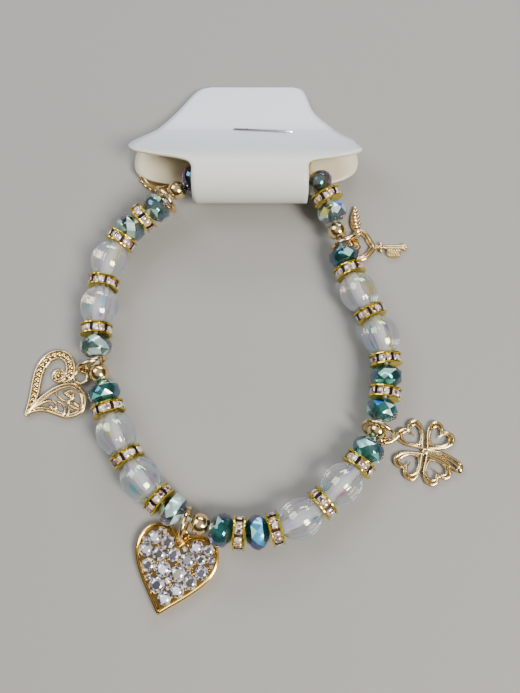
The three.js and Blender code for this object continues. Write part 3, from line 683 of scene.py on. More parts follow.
# Rhinestone spacers
# Facet tints of the spacer stones: their pinkish white, with painted reflections as bright glints and dark
# facets
STONE_COLOURS_AND_REFLECTIONS = [
    (0.86, 0.7, 0.7), (0.9, 0.68, 0.72), (1.0, 0.95, 0.92), (0.3, 0.17, 0.12), (0.8, 0.52, 0.16),
    (0.06, 0.03, 0.04), (0.78, 0.7, 0.86), (0.5, 0.33, 0.3), (0.2, 0.1, 0.12),
]
STONE_PAIRS = 6
PAIR_HALF_TURN = math.radians(12.2)
SPACER_STONE = {"width": 1.2, "height": 1.36, "radius": 2.56, "depth": 0.3}
GAP_BAR = {"inner": 2.3, "outer": 2.74, "width": 0.5, "height": 1.44}
# The dark band behind the stones, painted shade in the deep gaps
BAND_PROFILE = [(2.42, 0.74), (2.42, -0.74), (2.2, -0.74), (2.2, 0.74)]
RIM_WAVES = 12
RIM_WAVE = 0.02


def rim_profile(side):
    radius, half, rim = SPACER["radius"], SPACER["length"] / 2, SPACER["rim"]
    hub = SPACER["hub_length"] / 2
    profile = [
        (2.5, half - rim), (radius - 0.08, half - rim), (radius, half - rim + 0.08), (radius, half - 0.08),
        (radius - 0.08, half), (radius - 0.3, half - 0.02), (radius - 0.55, half - 0.16), (1.5, hub + 0.06),
        (BORE_RADIUS + 0.1, hub), (BORE_RADIUS, hub - 0.1), (BORE_RADIUS, 0.0), (2.4, 0.0),
    ]
    return [(r, side * z) for r, z in profile]


def square_stone(width, height, radius, depth):
    """A cushion-cut stone that faces outward at a radius: a table and a crown of facets."""
    points = []
    rows = [(1.0, 1.0, -depth), (1.0, 1.0, 0.0), (0.8, 0.8, depth * 0.55), (0.5, 0.5, depth)]
    corner = 0.62
    outline = [(-corner, -1), (corner, -1), (1, -corner), (1, corner),
               (corner, 1), (-corner, 1), (-1, corner), (-1, -corner)]
    for w, h, out in rows:
        for u, v in outline:
            points.append((radius + out, u * w * width / 2, v * h * height / 2))
    faces = []
    for k in range(len(rows) - 1):
        for i in range(8):
            j = (i + 1) % 8
            a, b, c, d = k * 8 + i, k * 8 + j, (k + 1) * 8 + j, (k + 1) * 8 + i
            if k == 1 and i % 2:
                faces += [[a, b, c], [a, c, d]]
            else:
                faces.append([a, b, c, d])
    faces.append([24 + i for i in range(8)])
    faces.append(list(reversed(range(8))))
    return points, faces


def bar_part(bar):
    """A plain upright bar between two pairs of stones, facing outward. In the dark setting, it paints the
    shade of the gap.
    """
    outline = [(bar["inner"], -bar["width"] / 2), (bar["outer"], -bar["width"] / 2),
               (bar["outer"], bar["width"] / 2), (bar["inner"], bar["width"] / 2)]
    return plate([Vector(p) for p in outline], -bar["height"] / 2, bar["height"] / 2, 0.03)


def make_spacer(bead):
    shape = Shape(bead["matrix"] @ Matrix.Rotation(dice.uniform(0, TURN), 4, "Z"))
    for side in (1, -1):
        shape.add(lathe(rim_profile(side), 60, lambda angle: 1 + RIM_WAVE * math.cos(RIM_WAVES * angle)))
    for k in range(STONE_PAIRS):
        for side in (1, -1):
            about = Matrix.Rotation(k / STONE_PAIRS * TURN + side * PAIR_HALF_TURN, 4, "Z")
            part = square_stone(**SPACER_STONE)
            # Each facet takes a stone colour or a painted reflection at random
            tints = [dice.choice(STONE_COLOURS_AND_REFLECTIONS) for _ in part[1]]
            shape.add(part, 1, tints, smooth=False, matrix=shape.place @ about)
    for k in range(STONE_PAIRS):
        about = Matrix.Rotation((k + 0.5) / STONE_PAIRS * TURN, 4, "Z")
        shape.add(bar_part(GAP_BAR), 2, smooth=False, matrix=shape.place @ about)
    shape.add(lathe(BAND_PROFILE, 48), 2)
    materials = [yellow_gold, rhinestone, gap_shade_gold]
    shape.piece(f"set_{bead['node']}", materials, [bead["node"]], "spacer_gold")


def make_ball(bead):
    half = math.sqrt(BALL["radius"] ** 2 - BALL["end_radius"] ** 2)
    outer = ellipse_profile(BALL["radius"], BALL["end_radius"], half, 20)
    profile = [(BORE_RADIUS, half - 0.05), (BORE_RADIUS, -half + 0.05)] + outer
    shape = Shape(bead["matrix"])
    shape.add(lathe(profile, 40))
    shape.piece(f"polished_{bead['node']}", [pale_gold], [bead["node"]], "pale_gold")


MAKERS = {"t": make_rondelle, "o": make_oval, "s": make_spacer, "b": make_ball}
for bead in beads:
    MAKERS[bead["kind"]](bead)


# Elastic thread and its knot
def make_thread():
    first, last = beads[0], beads[-1]
    knot = (first["centre"] - first["direction"] * RONDELLE["length"] / 2
            + last["centre"] + last["direction"] * OVAL["length"] / 2) / 2
    pitches = {"t": RONDELLE["pitch"], "o": OVAL["pitch"], "s": 0.0, "b": BALL["pitch"]}
    stops = [knot]
    for bead in beads:
        reach = 0.45 * pitches[bead["kind"]]
        stops.append(bead["centre"] - bead["direction"] * reach)
        if reach:
            stops.append(bead["centre"] + bead["direction"] * reach)
    stops.append(knot)
    shape = Shape()
    shape.add(wire(smooth_line(stops, 420), THREAD_RADIUS, 10), 0, THREAD_WHITE)
    shape.add(ball_part(knot, KNOT_RADIUS), 0, THREAD_WHITE)
    shape.piece("elastic", [elastic], ["elastic_thread"], "elastic")


make_thread()


# Jump rings: each a bent wire with a fine cut, and the eye of its charm linked through it
def ring_frame(number):
    ring = CHARM_RINGS[number - 1]
    heading, lean, link = [math.radians(ring[key]) for key in ("heading", "lean", "link")]
    outward = Vector((math.cos(heading), math.sin(heading), 0))
    across = Vector((-outward.y, outward.x, 0))
    rise = UP * math.cos(lean) - across * math.sin(lean)
    centre = centre_of(f"jump_ring_{number}")
    away = outward * math.cos(link) - rise * math.sin(link)
    tangent = outward * math.sin(link) + rise * math.cos(link)
    side = tangent.cross(away).normalized()
    middle = centre + away * ring["radius"]
    return {
        "centre": centre, "outward": outward, "rise": rise, "radius": ring["radius"], "away": away,
        "side": side, "middle": middle, "eye": ring["eye"], "far_side": middle + away * ring["eye"],
    }


RINGS = {number: ring_frame(number) for number in range(1, 6)}
# Half the angle of the cut in a ring's wire, and where the cut lies
RING_CUT = 0.035
CUT_ANGLE = math.pi * 0.8
RING_STEPS = 96
EYE_STEPS = 40
for number, ring in RINGS.items():
    angles = [CUT_ANGLE + RING_CUT + (TURN - 2 * RING_CUT) * k / RING_STEPS for k in range(RING_STEPS + 1)]
    path = hoop(ring["centre"], ring["outward"], ring["rise"], ring["radius"], angles)
    normal = ring["outward"].cross(ring["rise"])
    shape = Shape()
    shape.add(wire(path, RING_WIRE_RADIUS, 14, binormal=normal))
    shape.piece(f"bent_ring_{number}", [pale_gold], [f"jump_ring_{number}"], "pale_gold")


def make_charm(number, fill, piece, materials, node, slot, turn=0, offset=(0, 0, 0)):
    """A charm on its ring. fill adds the body in the charm's own frame, and the eye is added last."""
    ring = RINGS[number]
    spot = Vector((ring["far_side"].x, ring["far_side"].y, 0))
    seat = Matrix.Translation(spot) @ Matrix.Rotation(math.radians(turn), 4, "Z")
    shape = Shape(seat @ Matrix.Translation(offset))
    fill(shape)
    angles = [k / EYE_STEPS * TURN for k in range(EYE_STEPS)]
    path = hoop(ring["middle"], ring["away"], ring["side"], ring["eye"], angles)
    normal = ring["away"].cross(ring["side"])
    shape.add(wire(path, EYE_WIRE_RADIUS, 12, closed=True, binormal=normal), matrix=Matrix())
    shape.piece(piece, materials, [node], slot)


# Disc charm
DISC = {"across": 9.0, "neck": 2.6, "thick": 1.1, "turn": 190, "scallops": 20, "scallop": 0.42}
DISC_RINGS = (3.3, 1.6)
DISC_RING_WIRE = 0.14


def fill_disc(shape):
    radius, thick = DISC["across"] / 2, DISC["thick"]
    middle = Vector((0, -DISC["neck"] - radius))
    shape.add(plate(circle(middle, radius - 0.3, 80), 0.05, thick * 0.75, 0.1))
    for at in circle(middle, radius - DISC["scallop"], DISC["scallops"]):
        shape.ball((at.x, at.y, thick * 0.5), DISC["scallop"], 0.9)
    for across in DISC_RINGS:
        shape.wire(circle(middle, across, 48), thick * 0.78, DISC_RING_WIRE, 8, closed=True)
    shape.wire([(0, 0.05), (0, -1.4), (0, -3.0)], 0.5, 0.45)


make_charm(1, fill_disc, "scalloped_disc", [pale_gold], "disc_charm", "pale_gold", turn=DISC["turn"])


# Hearts
def heart_outline(half_width, rise, drop, top, steps):
    """The heart's left half from its notch to its tip, and the mirror image."""
    w, r, d = half_width, rise, drop
    half = [
        (0, top), (-0.07 * w, top + 0.65 * r), (-0.27 * w, top + r), (-0.53 * w, top + r),
        (-0.83 * w, top + r), (-w, top + 0.3 * r), (-w, top - 0.6 * r),
        (-w, top - 0.42 * d), (-0.4 * w, top - 0.72 * d), (0, top - d),
    ]
    return mirrored_outline(half, (-1, 1), steps)


def inside(outline, x, y):
    within = False
    for a, b in zip(outline, outline[1:] + outline[:1]):
        if (a.y > y) != (b.y > y) and x < (b.x - a.x) * (y - a.y) / (b.y - a.y) + a.x:
            within = not within
    return within


# Pave heart: a rounded rim, a gold field in painted shade, stones of mixed size and grains between them
PAVE = {"half_width": 7.4, "rise": 2.7, "drop": 11.9, "top": -1.3, "base": 1.1, "rim": 0.8}
PAVE_TURN = -17
RIM_SECTION = [
    (-0.36, -0.3), (0.36, -0.3), (0.36, 0.08), (0.26, 0.3), (0.05, 0.4), (-0.16, 0.32), (-0.36, 0.0),
]
# Facet tints of the clear pavé stones: painted reflections, bright glints and dark facets
PAVE_REFLECTION_TINTS = [
    (0.95, 0.92, 0.96), (0.8, 0.75, 0.82), (0.6, 0.56, 0.64), (0.33, 0.3, 0.36), (0.14, 0.12, 0.16),
    (0.07, 0.06, 0.08), (0.92, 0.88, 0.86), (0.42, 0.4, 0.3), (0.1, 0.09, 0.08),
]
# Sizes of stones across, with their shares, and the ones that fill what is left
STONE_SIZES = [(2.7, 3), (2.45, 6), (2.2, 5), (1.9, 3)]
SMALL_STONES = [2.2, 2.0, 1.8, 1.6, 1.4, 1.2, 1.0, 0.8]
STONE_GRID = 0.13
FAR_AWAY = 9.0
# How far a drawn stone reaches past its place, so that neighbours meet
STONE_REACH = 1.05
GRAIN_TRIES = 900
GRAIN_RADIUS = 0.19


def inset_line(outline, inset):
    """The closed outline moved inwards, without the points that would cross at its tip."""
    moved = offset_line(outline, inset, closed=True)
    return [p for p in moved if min((p - q).length for q in outline) > 0.97 * inset]


def packed_stones(outline, rim):
    """Places and sizes of stones from the rim inwards, each as near as can be to those before it."""
    low, high = min(p.y for p in outline), max(p.y for p in outline)
    wide = max(p.x for p in outline)
    spots = []
    for row in range(int((high - low) / STONE_GRID)):
        for column in range(int(2 * wide / STONE_GRID)):
            x, y = -wide + column * STONE_GRID, low + row * STONE_GRID
            if inside(outline, x, y):
                edge = min(math.hypot(x - p.x, y - p.y) for p in outline) - rim
                if edge > SMALL_STONES[-1] / 2:
                    spots.append([x, y, edge, FAR_AWAY])
    stones = []
    mixed = [size for size, share in STONE_SIZES for _ in range(share)]

    def place_one(across):
        fits = [spot for spot in spots if spot[2] > across / 2]
        if not fits:
            return False
        x, y = min(fits, key=lambda spot: spot[2] + spot[3])[:2]
        stones.append((x, y, across))
        for spot in spots:
            gap = math.hypot(x - spot[0], y - spot[1]) - across / 2
            spot[2], spot[3] = sorted((spot[2], spot[3], gap))[:2]
        return True

    while place_one(dice.choice(mixed)):
        pass
    for size in SMALL_STONES:
        while place_one(size):
            pass
    return stones


def fill_pave(shape):
    base, rim = PAVE["base"], PAVE["rim"]
    outline = heart_outline(PAVE["half_width"], PAVE["rise"], PAVE["drop"], PAVE["top"], 140)
    shape.add(plate(outline, 0.0, base - 0.02, 0.2))
    # The field under the stones, in the dark gold: painted shade between them
    shape.add(plate(inset_line(outline, rim * 0.8), base - 0.3, base, 0.05), 2)
    shape.add(sweep(lifted(inset_line(outline, rim * 0.5), base + 0.05), RIM_SECTION, closed=True))
    stones = packed_stones(outline, rim * 0.75)
    for x, y, across in stones:
        top = base + 0.2 + across * 0.16
        part = cut_stone((x, y), across * STONE_REACH, base - 0.1, top, turn=dice.uniform(0, 1))
        # Each facet takes a painted reflection at random
        tints = [dice.choice(PAVE_REFLECTION_TINTS) for _ in part[1]]
        shape.add(part, 1, tints, smooth=False)
    for _ in range(GRAIN_TRIES):
        x, y = dice.uniform(-7, 7), dice.uniform(-14, 3)
        near = sorted(math.hypot(x - a, y - b) - c / 2 for a, b, c in stones)
        if inside(outline, x, y) and near[0] > 0.05 and near[1] < 0.4:
            shape.ball((x, y, base + 0.15), GRAIN_RADIUS, 1.0, 8, 5)
    shape.add(wire([(0, 0.1, 0.55), (0, -1.0, 0.6), (0, -2.2, 0.6)], 0.5, 12))


make_charm(3, fill_pave, "stone_heart", [charm_gold, rhinestone, hollow_shade_gold], "pave_heart", "charm_gold",
           turn=PAVE_TURN)


# Filigree heart
BAND_LINE = [
    (-9.2, -6.6), (-8.45, -4.3), (-8.0, -2.3), (-7.85, -0.5), (-7.6, 1.3), (-7.05, 2.9), (-6.0, 4.2),
    (-4.5, 4.9), (-3.1, 4.6), (-2.1, 3.7), (-1.65, 2.3), (-1.8, 1.0), (-2.6, 0.3), (-3.8, 0.7),
]
LEAF_LINE = [
    (-9.2, -6.7), (-7.8, -4.6), (-6.2, -3.0), (-4.5, -1.75), (-2.8, -1.0), (-1.3, -0.85), (0.1, -1.45),
    (1.2, -2.7), (1.65, -4.1), (1.5, -5.4), (0.5, -6.5), (-0.8, -7.0), (-2.2, -7.05), (-4.0, -6.45),
    (-5.7, -5.95), (-7.1, -5.9), (-8.3, -6.2), (-9.1, -6.65),
]
FILIGREE_PLACE = Vector((-0.4, -1.9, 0))
SCROLL_LINES = [
    [(-4.2, -2.0), (-3.5, -3.3), (-2.6, -4.0), (-1.5, -4.1), (-0.75, -3.4), (-0.8, -2.5), (-1.6, -2.2),
     (-2.1, -2.7)],
    [(-7.9, -5.4), (-6.4, -4.5), (-5.2, -4.1), (-4.2, -4.3), (-3.7, -5.1), (-4.1, -5.7), (-4.7, -5.3)],
    [(-3.6, -4.2), (-2.8, -4.6), (-2.15, -5.4), (-2.1, -6.2), (-2.6, -6.9)],
    [(-0.9, -3.8), (-1.6, -4.5), (-0.8, -5.2), (0.2, -5.6), (1.1, -5.7)],
    [(-1.45, -5.1), (-1.25, -5.9), (-1.6, -6.9)],
]
BALL_TIPS = {0: 0.48, 1: 0.42}
PETALS = [((0.1, -4.9), 0.42), ((-0.35, -4.5), 0.36), ((-0.2, -5.5), 0.34), ((-1.45, -3.2), 0.5)]
CRESCENT_LINE = [(0.3, -2.4), (1.0, -3.5), (1.15, -4.6), (0.8, -5.5), (0.1, -6.1)]
HEART_TIP = (-9.15, -6.6, 0.5)
# The loop soldered between the band, the leaf and the eye
LOOP = {"centre": (0.35, 0.5), "radius": 1.25, "wire": 0.3}
BAND = {"steps": 110, "half_width": 0.8, "edge": 0.72, "pads": 22, "pad": 0.5}
BORDER_WIRE = 0.2
LEAF_STEPS = 130
SCROLL_WIRE = 0.25
# The round end of the band
BAND_DISC = {"radius": 1.25, "hoop": 1.18, "grains": 9, "grain": 0.24, "grain_ring": 0.7}


def taper(share):
    """The band's width grows from its pointed start."""
    return min(1.0, 0.25 + share * 3.5)


def add_band(shape):
    steps = BAND["steps"]
    band = smooth_line(BAND_LINE, steps)
    trough = box_section(BAND["half_width"], -0.35, 0.2)
    # The band's trough, in the dark gold: painted shade
    shape.add(sweep(lifted(band, 0.4), trough, scale=taper), 1)
    for side in (1, -1):
        beside = offset_line(band, side * BAND["edge"])
        edge = [p.lerp(q, taper(k / steps)) for k, (p, q) in enumerate(zip(band, beside))]
        shape.wire(edge, 0.6, BORDER_WIRE)
    count = BAND["pads"]
    pads = smooth_line(BAND_LINE, count)
    for k in range(1, count):
        along = (pads[k + 1] - pads[k - 1]).normalized()
        spin = Matrix.Rotation(math.atan2(along.y, along.x), 4, "Z")
        spot = Matrix.Translation((pads[k].x, pads[k].y, 0.62)) @ spin
        shape.ball((0, 0, 0), BAND["pad"] * taper(k / count), 0.55, 14, 7, matrix=shape.place @ spot)
    end = band[-1]
    # The band's end disc, in the dark gold: painted shade under its hoop and grains
    shape.ball((end.x, end.y, 0.5), BAND_DISC["radius"], 0.3, 28, 8, slot=1)
    shape.wire(circle(end, BAND_DISC["hoop"], 36), 0.62, BORDER_WIRE, closed=True)
    for spot in circle(end, BAND_DISC["grain_ring"], BAND_DISC["grains"]):
        shape.ball((spot.x, spot.y, 0.78), BAND_DISC["grain"], 0.9, 10, 6)
    shape.ball((end.x, end.y, 0.85), 0.3, 0.9, 10, 6)


def fill_filigree(shape):
    add_band(shape)
    leaf = smooth_line(LEAF_LINE, LEAF_STEPS)
    shape.wire(leaf, 0.58, 0.3, 12)
    shape.wire(offset_line(leaf, -0.52)[7:-7], 0.5, 0.21)
    # The leaf's trough, in the dark gold: painted shade
    shape.add(sweep(lifted(offset_line(leaf, -0.26)[3:-3], 0.4), box_section(0.25, -0.2, 0.0)), 1)
    crescent = smooth_line(CRESCENT_LINE, 30)
    shape.wire(crescent, 0.5, 0.36, 12, scale=lambda t: 0.35 + math.sin(math.pi * t))
    for number, line in enumerate(SCROLL_LINES):
        scroll = smooth_line(line, 48)
        shape.wire(scroll, 0.52, SCROLL_WIRE)
        if number in BALL_TIPS:
            tip = scroll[-1]
            shape.ball((tip.x, tip.y, 0.6), BALL_TIPS[number], 0.9)
    for (x, y), size in PETALS:
        shape.ball((x, y, 0.52), size, 0.75)
    shape.ball(HEART_TIP, 0.42, 0.9)
    shape.wire(circle(Vector(LOOP["centre"]), LOOP["radius"], 32), 0.55, LOOP["wire"], 12, closed=True)


make_charm(2, fill_filigree, "scroll_heart", [pale_gold, hollow_shade_gold], "filigree_heart", "pale_gold",
           offset=FILIGREE_PLACE)


# Clover
CLOVER_CENTRE = Vector((7.4, -1.7, 0))
LEAF_HEADINGS = [126, 45, 216, 295]
LEAF_LENGTH = 6.1
LEAF_WIRE = 0.95
STEM_LINES = [
    [(0.4, 0.1), (3.0, -0.3), (5.0, -1.2), (6.15, -2.1)],
    [(0.4, -0.1), (2.9, -0.8), (4.8, -1.9), (5.9, -2.9)],
    [(0.4, -0.3), (2.6, -1.15), (4.4, -2.5), (5.5, -3.6)],
]
STEM_CAP = {"centre": (6.05, -2.95, 0.62), "long": 1.05, "wide": 0.62, "turn": 78}


# Shares of a leaf's length and half width along one side, for its outline and its opening
LEAF_OUTER = [(0.3, -0.35), (0.45, -1), (0.78, -1), (1.02, -1), (1.04, -0.2), (0.84, 0)]
LEAF_INNER = [(0.4, -0.3), (0.5, -1), (0.79, -1), (0.99, -1), (0.98, -0.35), (0.78, 0)]
LEAF_HALF_WIDTH = LEAF_LENGTH * 0.44
LEAF_POINTS = 96


def leaf_loop(start, shares, length, half_width):
    half = [(start, 0)] + [(length * x, half_width * y) for x, y in shares]
    return mirrored_outline(half, (1, -1), LEAF_POINTS)


def fill_clover(shape):
    tip = LEAF_LENGTH - LEAF_WIRE * 0.8
    outer = leaf_loop(0.35, LEAF_OUTER, LEAF_LENGTH, LEAF_HALF_WIDTH)
    inner = leaf_loop(LEAF_WIRE * 1.9, LEAF_INNER, tip, LEAF_HALF_WIDTH - LEAF_WIRE)
    spur = smooth_line([(tip * 0.84, 0), (tip * 0.74, -0.05), (tip * 0.64, -0.18)], 12)
    for heading in LEAF_HEADINGS:
        turned = shape.place @ Matrix.Rotation(math.radians(heading), 4, "Z")
        # The leaf plate between the wires, in the dark gold: painted shade
        shape.add(plate(outer, 0.1, 0.5, 0.05, hole=inner), 1, matrix=turned)
        shape.wire(offset_line(outer, 0.2, closed=True), 0.55, 0.27, 12, matrix=turned, closed=True)
        shape.wire(offset_line(inner, -0.1, closed=True), 0.6, 0.2, matrix=turned, closed=True)
        shape.wire(spur, 0.58, 0.2, 8, matrix=turned, scale=lambda t: 1.1 - 0.6 * t)
    shape.ball((0, 0, 0.45), 0.7, 0.5, 20, 8)
    for line in STEM_LINES:
        shape.wire(smooth_line(line, 30), 0.58, 0.28)
    cap = Matrix.Translation(STEM_CAP["centre"]) @ Matrix.Rotation(math.radians(STEM_CAP["turn"]), 4, "Z")
    stretch = Matrix.Diagonal((STEM_CAP["long"], STEM_CAP["wide"], STEM_CAP["wide"] * 0.95, 1))
    shape.ball((0, 0, 0), 1.0, 1.0, 24, 12, matrix=shape.place @ cap @ stretch)
    shape.wire(smooth_line([(-7.35, 1.6), (-6.1, 1.9), (-4.7, 3.0)], 10), 0.55, 0.36)


make_charm(4, fill_clover, "wire_clover", [pale_gold, hollow_shade_gold], "clover", "pale_gold",
           offset=CLOVER_CENTRE)


# Winged heart key
BOW_LINE = [
    (0.95, -1.15), (0.3, -0.35), (-0.2, 0.6), (0.0, 1.6), (0.75, 2.25), (1.75, 2.2), (2.65, 1.4),
    (3.3, 0.2), (3.9, -1.15), (3.3, -2.4), (2.45, -3.3), (1.5, -3.85), (0.6, -3.9), (0.05, -3.3),
    (0.05, -2.5), (0.4, -1.8),
]
SHAFT = {"y": -1.2, "start": 3.8, "end": 10.0, "rail": 0.255, "apart": 0.2}
COLLAR = {"x": 5.25, "reach": 0.85, "side_ball": 0.36, "beads": [(-0.6, 0.42), (0.0, 0.55), (0.6, 0.42)]}
# Balls of the end knob: x and y from the shaft's end, and radius
KNOB = [(0.0, 0.5, 0.34), (0.3, 0.0, 0.34), (0.0, -0.5, 0.3), (-0.35, 0.42, 0.22)]
BIT_OUTLINE = [
    (6.4, -1.4), (9.4, -1.4), (9.2, -2.6), (8.95, -2.9), (8.75, -3.3), (8.4, -3.2), (8.2, -3.5),
    (7.85, -3.25), (7.6, -3.5), (7.25, -3.25), (6.95, -3.45), (6.7, -3.1), (6.4, -2.9),
]
BIT_ROWS = (-1.9, -2.45, -3.0)
WING_TIPS = [(0.45, 7.7), (0.85, 7.0), (0.95, 6.25), (1.2, 5.6), (1.2, 4.8), (1.35, 4.1), (1.2, 3.4)]
WING_BACK = [(0.5, 2.1), (-0.1, 3.0), (-0.4, 4.2), (-0.3, 5.4), (0.05, 6.6), (0.4, 7.6)]
WING_MIDDLE = [(0.55, 2.2), (0.45, 3.6), (0.3, 5.2), (0.4, 7.0)]


def add_wing(shape):
    back = smooth_line(WING_BACK, 24)
    for k, tip in enumerate(WING_TIPS):
        root = back[max(2, 20 - 3 * k)]
        middle = root.lerp(Vector(tip), 0.5) + Vector((0.12, -0.25))
        feather = smooth_line([root, middle, tip], 14)
        shape.wire(feather, 0.45, 0.3, scale=lambda t: 0.75 + 0.35 * math.sin(math.pi * t))
    web = lifted(smooth_line(WING_MIDDLE, 20), 0.3)
    # The web between the feathers, in the dark gold: painted shade
    shape.add(sweep(web, box_section(0.5, -0.12, 0.08), scale=lambda t: 1.0 - 0.7 * t), 1)
    shape.wire(back, 0.42, 0.28)


def fill_key(shape):
    bow = smooth_line(BOW_LINE + BOW_LINE[:1], 110)[:-1]
    shape.wire(bow, 0.5, 0.4, 14, closed=True)
    shape.wire(offset_line(bow, -0.62, closed=True)[6:-6], 0.45, 0.2)
    hollow = lifted(offset_line(bow, -0.36, closed=True)[4:-4], 0.32)
    # The hollow inside the bow, in the dark gold: painted shade
    shape.add(sweep(hollow, box_section(0.3, -0.15, 0.05)), 1)
    shaft_y = SHAFT["y"]
    for side in (1, -1):
        y = shaft_y + side * SHAFT["apart"]
        shape.wire([(SHAFT["start"], y), (SHAFT["end"], y)], 0.5, SHAFT["rail"], 12)
    for x, size in COLLAR["beads"]:
        shape.ball((COLLAR["x"] + x, shaft_y, 0.52), size, 0.95, 16, 10)
    for side in (1, -1):
        shape.ball((COLLAR["x"], shaft_y + side * COLLAR["reach"], 0.5), COLLAR["side_ball"], 1.0, 12, 8)
    for x, y, size in KNOB:
        shape.ball((SHAFT["end"] + x, shaft_y + y, 0.5), size, 1.0, 12, 8)
    shape.add(plate([Vector(p) for p in BIT_OUTLINE], 0.15, 0.72, 0.08), smooth=False)
    for row, y in enumerate(BIT_ROWS):
        for k in range(5 - row % 2):
            shape.ball((6.8 + 0.5 * k + 0.25 * (row % 2), y, 0.72), 0.24, 0.8, 10, 6)
    add_wing(shape)
    shape.wire(smooth_line([(0.1, -0.05), (0.3, -0.4), (0.75, -0.9)], 8), 0.42, 0.32)


make_charm(5, fill_key, "winged_key", [pale_gold, hollow_shade_gold], "heart_key", "pale_gold")


# Display card. Stations run along the sheet's middle from the back panel's end, round the
# fold, to the front panel's end: y and z of the sheet, and its left and right half widths.
CARD_MIDDLE_X = -1.9
CARD_THICK = 0.5
FOLD = {"y": 32.3, "z": 6.5, "radius": 4.5, "half_width": 11.1}
BACK_STATIONS = [
    (57.2, 0.25, 8.6, 8.6), (56.4, 0.28, 11.2, 11.2), (51.0, 0.6, 14.6, 12.6), (46.0, 1.2, 19.0, 17.0),
    (42.6, 1.7, 22.8, 20.9), (40.6, 1.8, 23.6, 21.8), (38.4, 1.9, 23.8, 22.0), (36.2, 1.95, 23.2, 21.2),
    (34.6, 2.0, 20.6, 18.8), (33.6, 2.0, 16.4, 15.4), (32.9, 2.0, 12.3, 12.3),
]
FRONT_STATIONS = [
    (33.6, 10.85, 12.0, 12.0), (34.6, 10.5, 14.6, 16.6), (35.6, 10.0, 18.8, 20.0), (36.8, 9.2, 22.2, 21.6),
    (38.0, 8.2, 23.6, 21.5), (39.4, 7.1, 24.0, 21.0), (41.6, 5.4, 23.0, 20.4), (44.2, 3.7, 20.6, 18.2),
    (46.2, 2.7, 18.9, 16.7), (50.6, 1.75, 15.6, 13.2), (56.2, 1.1, 11.6, 11.2), (57.3, 1.05, 8.6, 9.0),
]
# The front panel's cooler blue is painted reflection of bluish light from above; the fold and inside keep the
# card's cream
CARD_LIT_OUTSIDE = (0.68, 0.735, 0.79)
CARD_FOLD = (0.70, 0.695, 0.64)
CARD_INSIDE = (0.72, 0.64, 0.47)
CARD_COLUMNS = 25
STAPLE_LINE = [
    (-5.2, 45.6, 2.6), (-5.2, 45.62, 3.3), (-4.9, 45.6, 3.45), (0.6, 45.1, 3.75), (6.1, 44.65, 4.0),
    (6.45, 44.6, 3.85), (6.5, 44.6, 3.1),
]
STAPLE_TILT = Vector((0.05, 0.7, 0.7))


def card_stations():
    stations = list(BACK_STATIONS)
    for k in range(9):
        angle = math.radians(-90 - 22.5 * k)
        stations.append((
            FOLD["y"] + FOLD["radius"] * math.cos(angle), FOLD["z"] + FOLD["radius"] * math.sin(angle),
            FOLD["half_width"], FOLD["half_width"],
        ))
    return stations + FRONT_STATIONS


def fold_and_lit_front_tint(point):
    """Cream at the fold and cooler blue on the front panel, where the blue is painted reflection of the
    bluish light from above.
    """
    share = min(1.0, max(0.0, (point.y - FOLD["y"] - DESIGN_SHIFT.y - 1.0) / 6.0))
    return tuple(a + (b - a) * share for a, b in zip(CARD_FOLD, CARD_LIT_OUTSIDE))


def make_card():
    stations = catmull_rom([Vector(s) for s in card_stations()], 6)
    rows, columns = len(stations), CARD_COLUMNS
    outer, inner = [], []
    for k, (y, z, left, right) in enumerate(stations):
        before, after = stations[max(k - 1, 0)], stations[min(k + 1, rows - 1)]
        along = Vector((after[0] - before[0], after[1] - before[1])).normalized()
        off_y, off_z = along.y * CARD_THICK / 2, -along.x * CARD_THICK / 2
        for c in range(columns):
            x = CARD_MIDDLE_X - left + (left + right) * c / (columns - 1)
            outer.append(Vector((x, y + off_y, z + off_z)) + DESIGN_SHIFT)
            inner.append(Vector((x, y - off_y, z - off_z)) + DESIGN_SHIFT)
    count = len(outer)
    points = outer + inner
    skin, lining, edges = [], [], []
    for k in range(rows - 1):
        for c in range(columns - 1):
            a = k * columns + c
            skin.append([a, a + 1, a + columns + 1, a + columns])
            lining.append([count + a, count + a + columns, count + a + columns + 1, count + a + 1])
        for a in (k * columns, k * columns + columns - 1):
            edges.append([a, a + columns, count + a + columns, count + a])
    for c in range(columns - 1):
        for a in (c, (rows - 1) * columns + c):
            edges.append([a, a + 1, count + a + 1, count + a])
    shape = Shape()
    shape.add((points, skin), 0, CARD_INSIDE)
    shape.add((points, lining), 0, fold_and_lit_front_tint)
    shape.add((points, edges), 0, CARD_INSIDE)
    line = [Vector(p) + DESIGN_SHIFT for p in STAPLE_LINE]
    shape.add(sweep(line, box_section(0.3, -0.14, 0.14), binormal=STAPLE_TILT), 1, smooth=False)
    work = shape.piece("folded_card", [satin_card, steel], ["display_card"], "card")
    merge = bmesh.new()
    merge.from_mesh(work.data)
    bmesh.ops.remove_doubles(merge, verts=merge.verts, dist=1e-7)
    bmesh.ops.recalc_face_normals(merge, faces=merge.faces)
    merge.to_mesh(work.data)
    merge.free()


make_card()


# Floor, light and camera
FLOOR_HALF = 2.0
FLOOR_COLOUR = (0.29, 0.277, 0.255)
# Name, place, size, watts and colour of each soft box
LIGHTS = [
    ("key", (0.35, -0.3, 0.5), (0.22, 0.3), 7.5, (1.0, 0.97, 0.92)),
    ("fill", (-0.45, 0.25, 0.5), (0.4, 0.4), 3.0, (0.86, 0.93, 1.0)),
    ("back", (0.1, 0.6, 0.35), (0.5, 0.15), 3.0, (0.95, 0.97, 1.0)),
]
# The surroundings' colour straight below and straight above, and stops between them
WORLD_BELOW = (0.3, 0.25, 0.2)
WORLD_ABOVE = (0.95, 1.0, 1.08)
WORLD_STOPS = [(0.3, (0.1, 0.08, 0.06)), (0.62, (0.13, 0.11, 0.09)), (0.8, (0.75, 0.77, 0.8))]
WORLD_STRENGTH = 0.6


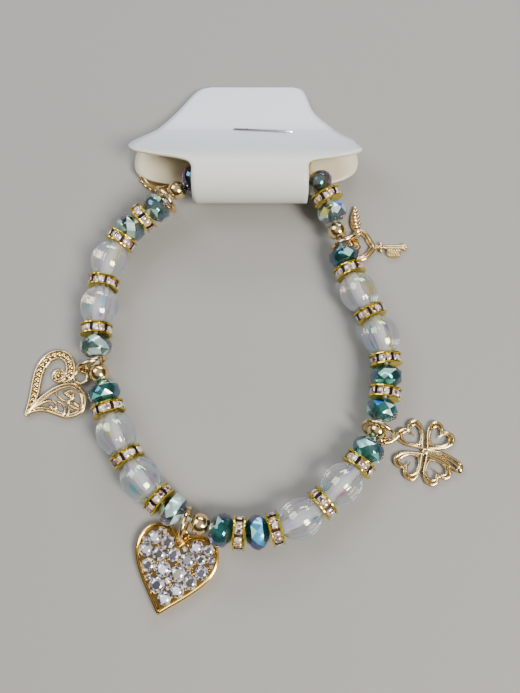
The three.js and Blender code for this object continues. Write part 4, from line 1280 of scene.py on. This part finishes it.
def make_floor():
    mesh = bpy.data.meshes.new("floor")
    corners = [(-FLOOR_HALF, -FLOOR_HALF), (FLOOR_HALF, -FLOOR_HALF), (FLOOR_HALF, FLOOR_HALF),
               (-FLOOR_HALF, FLOOR_HALF)]
    mesh.from_pydata([(x, y, 0) for x, y in corners], [], [[0, 1, 2, 3]])
    floor = add_object("floor", mesh)
    material, _, shader = node_material("pale_floor")
    set_inputs(shader, {"Base Color": (*FLOOR_COLOUR, 1), "Roughness": 0.8})
    mesh.materials.append(material)


def area_light(name, place, size, watts, colour):
    """A soft box that faces the origin."""
    light = bpy.data.lights.new(name, "AREA")
    light.shape = "RECTANGLE"
    light.size, light.size_y = size
    light.energy = watts
    light.color = colour
    lamp = add_object(name, light)
    lamp.location = place
    lamp.rotation_euler = (-Vector(place)).to_track_quat("-Z", "Y").to_euler()


def make_world():
    world = bpy.data.worlds.new("studio")
    world.use_nodes = True
    bpy.context.scene.world = world
    tree = world.node_tree
    background = tree.nodes["Background"]
    place = tree.nodes.new("ShaderNodeTexCoord")
    split = tree.nodes.new("ShaderNodeSeparateXYZ")
    ramp = tree.nodes.new("ShaderNodeValToRGB")
    tree.links.new(place.outputs["Generated"], split.inputs[0])
    tree.links.new(split.outputs["Z"], ramp.inputs["Fac"])
    stops = ramp.color_ramp.elements
    stops[0].color = (*WORLD_BELOW, 1)
    stops[1].color = (*WORLD_ABOVE, 1)
    for position, colour in WORLD_STOPS:
        stops.new(position).color = (*colour, 1)
    tree.links.new(ramp.outputs["Color"], background.inputs["Color"])
    set_inputs(background, {"Strength": WORLD_STRENGTH})


def make_camera():
    camera = bpy.data.cameras.new("camera")
    camera.lens = LENS_MM
    camera.sensor_width = SENSOR_MM
    camera.sensor_fit = "AUTO"
    camera.clip_start = 0.005
    holder = add_object("camera", camera)
    back = Vector((0, -math.cos(CAMERA_ELEVATION), math.sin(CAMERA_ELEVATION)))
    holder.location = (LOOK_AT_MM + back * CAMERA_DISTANCE_MM) * MM
    holder.rotation_euler = (math.pi / 2 - CAMERA_ELEVATION, 0, 0)
    bpy.context.scene.camera = holder


make_floor()
for light in LIGHTS:
    area_light(*light)
make_world()
make_camera()
